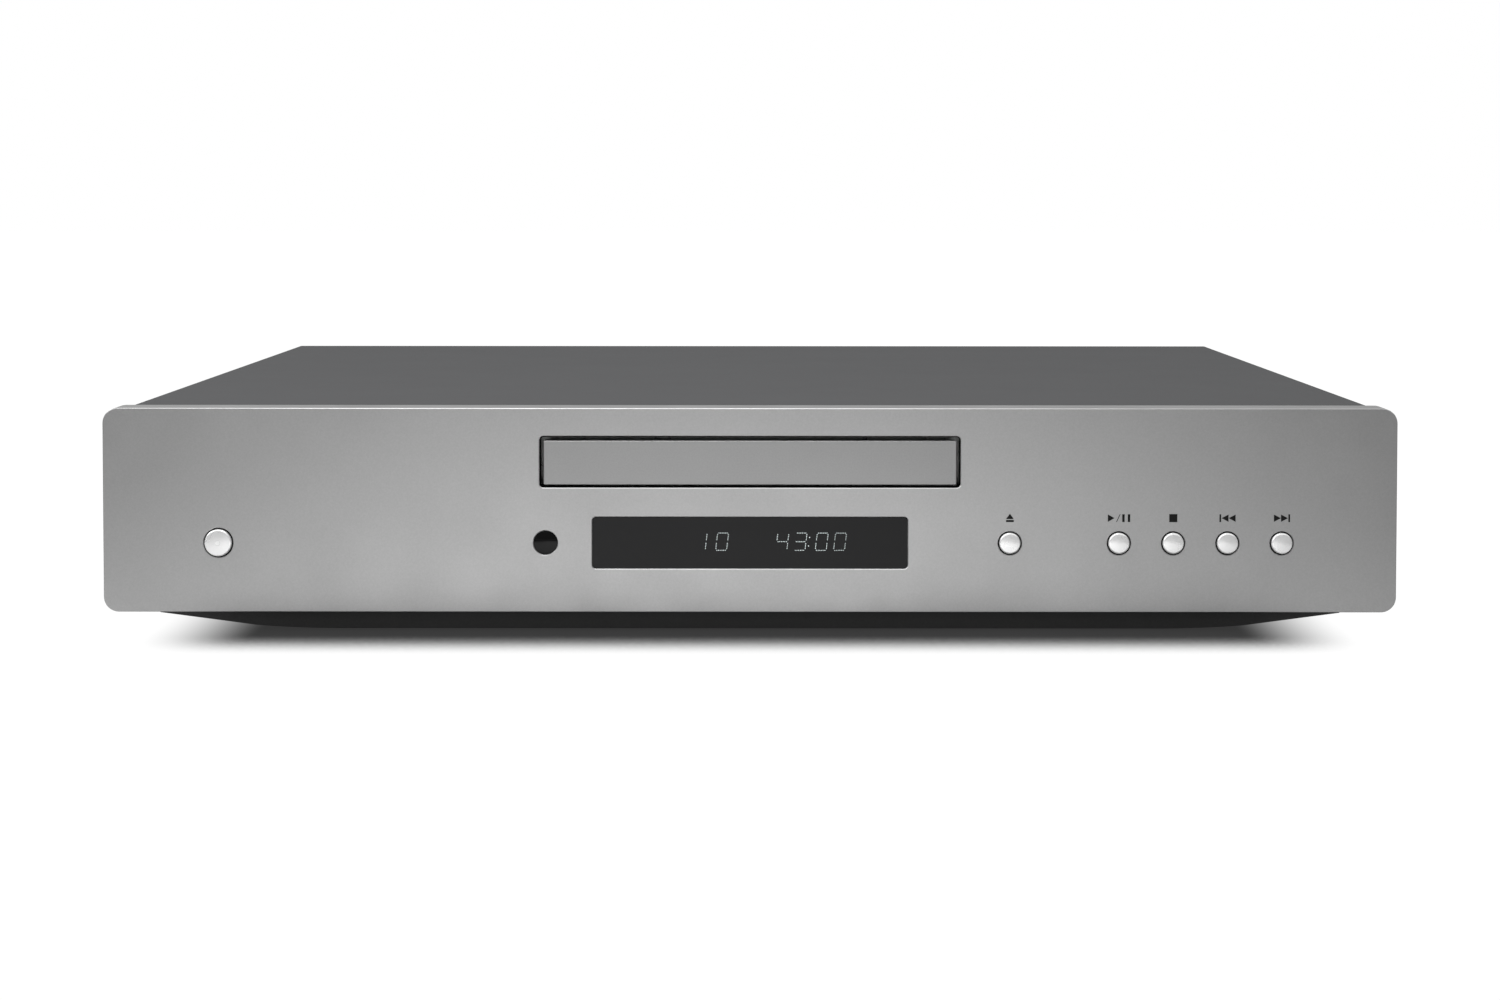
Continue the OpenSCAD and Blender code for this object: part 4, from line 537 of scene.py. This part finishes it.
def opening_loop(inset):
    """Corners of the rounded opening, drawn in by inset"""
    r = OPENING_R - inset
    left, right = OPENING_X[0] + inset + r, OPENING_X[1] - inset - r
    bottom, top = OPENING_Z[0] + inset + r, OPENING_Z[1] - inset - r
    loop = []
    for cx, cz, first in ((right, top, 0), (left, top, 90), (left, bottom, 180), (right, bottom, 270)):
        for i in range(CORNER_STEPS + 1):
            a = math.radians(first + 90 / CORNER_STEPS * i)
            loop.append((cx + r * math.cos(a), cz + r * math.sin(a)))
    return loop


near, far = SHADE_SHEET_Y
thin, thick = SHADE_SHEET_INSET
verts, faces = [], []
for inset, y in ((thin, near), (thick, near), (thick, far), (thin, far)):
    verts += [(x * MM, FACE_Y + y * MM, z * MM) for x, z in opening_loop(inset)]
n = len(verts) // 4
for a, b in ((0, n), (n, 2 * n), (2 * n, 3 * n), (3 * n, 0)):
    faces += [(a + k, a + (k + 1) % n, b + (k + 1) % n, b + k) for k in range(n)]
new_piece("drawer_painted_shade", verts, faces, finishes["painted_gap_shade"], "root")

# ------------------------------------------------------------------ printed symbols
INK = 0.03
# From the panel's top to the symbols' middle
SYMBOLS_DROP = 36.5
SYMBOLS_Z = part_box("front_panel")[1].z - SYMBOLS_DROP * MM
# Half height of the symbols' bars and of their arrows
TALL = 1.3
ARROW = 1.22


def bar(x0, x1, z0, z1):
    return [(x0, z0), (x1, z0), (x1, z1), (x0, z1)]


def arrow(x0, x1, h=ARROW):
    return [(x0, -h), (x1, 0), (x0, h)]


def printed(name, shapes, x, z, y, thickness, mat):
    """Ink shapes, each a list of corners in millimetres about (x, z), with this thickness (rearwards) from y"""
    verts, faces = [], []
    for shape in shapes:
        n, at = len(shape), len(verts)
        for depth in (0.0, thickness * MM):
            verts += [(x + p[0] * MM, y + depth, z + p[1] * MM) for p in shape]
        faces.append([at + n + i for i in range(n)])
        faces.append([at + i for i in range(n)][::-1])
        faces += [(at + i, at + (i + 1) % n, at + n + (i + 1) % n, at + n + i) for i in range(n)]
    new_piece(name, verts, faces, mat, "root")


SYMBOLS = {
    "eject": [[(-TALL, -0.35), (TALL, -0.35), (0, 1.45)], bar(-TALL, TALL, -1.35, -0.65)],
    "play": [arrow(-3.7, -1.5, 1.25), [(-0.95, -TALL), (-0.7, -TALL), (0.5, TALL), (0.25, TALL)],
             bar(1.07, 1.88, -TALL, TALL), bar(2.93, 3.72, -TALL, TALL)],
    "stop": [bar(-1.35, 1.35, -1.35, 1.35)],
    "previous": [bar(-2.7, -2.15, -TALL, TALL), arrow(0.3, -2.0), arrow(2.65, 0.35)],
    "next": [arrow(-2.65, -0.35), arrow(-0.3, 2.0), bar(2.15, 2.7, -TALL, TALL)],
}
for key, shapes in SYMBOLS.items():
    printed(key + "_symbol", shapes, middle(key + "_button").x, SYMBOLS_Z, FACE_Y, -INK, finishes["print_ink"])

# ------------------------------------------------------------------ printed frames round the rear sockets
FRAME_HALF_X = 9.5
FRAME_LINE = 0.4
# Middle x and z and half height, in millimetres
FRAMES = {"analogue_frame": (174.5, 33, 16.5), "digital_frame": (108, 26, 9.5)}

rear_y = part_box("rear_panel")[1].y
for name, (x, z, half_z) in FRAMES.items():
    side, top = FRAME_HALF_X - FRAME_LINE, half_z - FRAME_LINE
    shapes = [bar(-FRAME_HALF_X, FRAME_HALF_X, top, half_z), bar(-FRAME_HALF_X, FRAME_HALF_X, -half_z, -top),
              bar(-FRAME_HALF_X, -side, -top, top), bar(side, FRAME_HALF_X, -top, top)]
    printed(name, shapes, x * MM, z * MM, rear_y, INK, finishes["rear_ink"])

# ------------------------------------------------------------------ display characters
# Each character is made of slanted segments, and each segment is a row of dots
SEGMENTS = {"0": "abcdef", "1": "bc", "3": "abcdg", "4": "bcfg"}
CELL_W, CELL_H, SLANT = 3.64, 5.77, 0.12
ACROSS = [0.42 + i * 0.56 for i in range(6)]
UPPER = [3.54 + i * 0.567 for i in range(4)]
LOWER = [0.61 + i * 0.557 for i in range(4)]
PLACES = {
    "a": [(x, CELL_H) for x in ACROSS], "g": [(x, CELL_H / 2) for x in ACROSS], "d": [(x, 0) for x in ACROSS],
    "f": [(0, z) for z in UPPER], "b": [(CELL_W, z) for z in UPPER],
    "e": [(0, z) for z in LOWER], "c": [(CELL_W, z) for z in LOWER],
}
COLON = [(0, 1.45), (0, 4.3)]
DOT_SIDES = 8
DOT_R = 0.13
COLON_R = 0.155
DOT_STRETCH = 1.15
DOT_THICKNESS = 0.02
# How far the dots stand in front of the window, and how far the characters' middle is over the window's
DOTS_OFF = 0.03
RAISED = 0.4


def lit(name, characters, strength):
    """Glowing dots of characters: (character, millimetres from the window's middle)"""
    pane = middle("display_window")
    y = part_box("display_window")[0].y - DOTS_OFF * MM
    base = pane.z + (RAISED - CELL_H / 2) * MM
    sides = range(DOT_SIDES)
    verts, faces = [], []
    for character, left in characters:
        is_colon = character == ":"
        r = (COLON_R if is_colon else DOT_R) * MM
        for x, z in COLON if is_colon else [p for s in SEGMENTS[character] for p in PLACES[s]]:
            cx = pane.x + (left + x + SLANT * z) * MM
            cz = base + z * MM
            at = len(verts)
            for depth in (0, DOT_THICKNESS * MM):
                for k in sides:
                    a = math.tau * (k + 0.5) / DOT_SIDES
                    verts.append((cx + r * math.cos(a), y + depth, cz + r * DOT_STRETCH * math.sin(a)))
            faces.append([at + k for k in sides])
            faces.append([at + DOT_SIDES + k for k in sides][::-1])
            for k in sides:
                n = (k + 1) % DOT_SIDES
                faces.append((at + k, at + DOT_SIDES + k, at + DOT_SIDES + n, at + n))
    glow = material(name, (0.75, 0.85, 0.85), 0.5, grain=(3000, 0.1), emission=((0.82, 0.9, 0.9), strength))
    new_piece(name, verts, faces, glow, "root")


lit("display_digits", [("1", -18.55), ("0", -11.43), ("4", 8.6), ("3", 14.66), (":", 19.3), ("0", 21.7)], 0.48)
lit("display_digit_dim", [("0", 27.8)], 0.22)
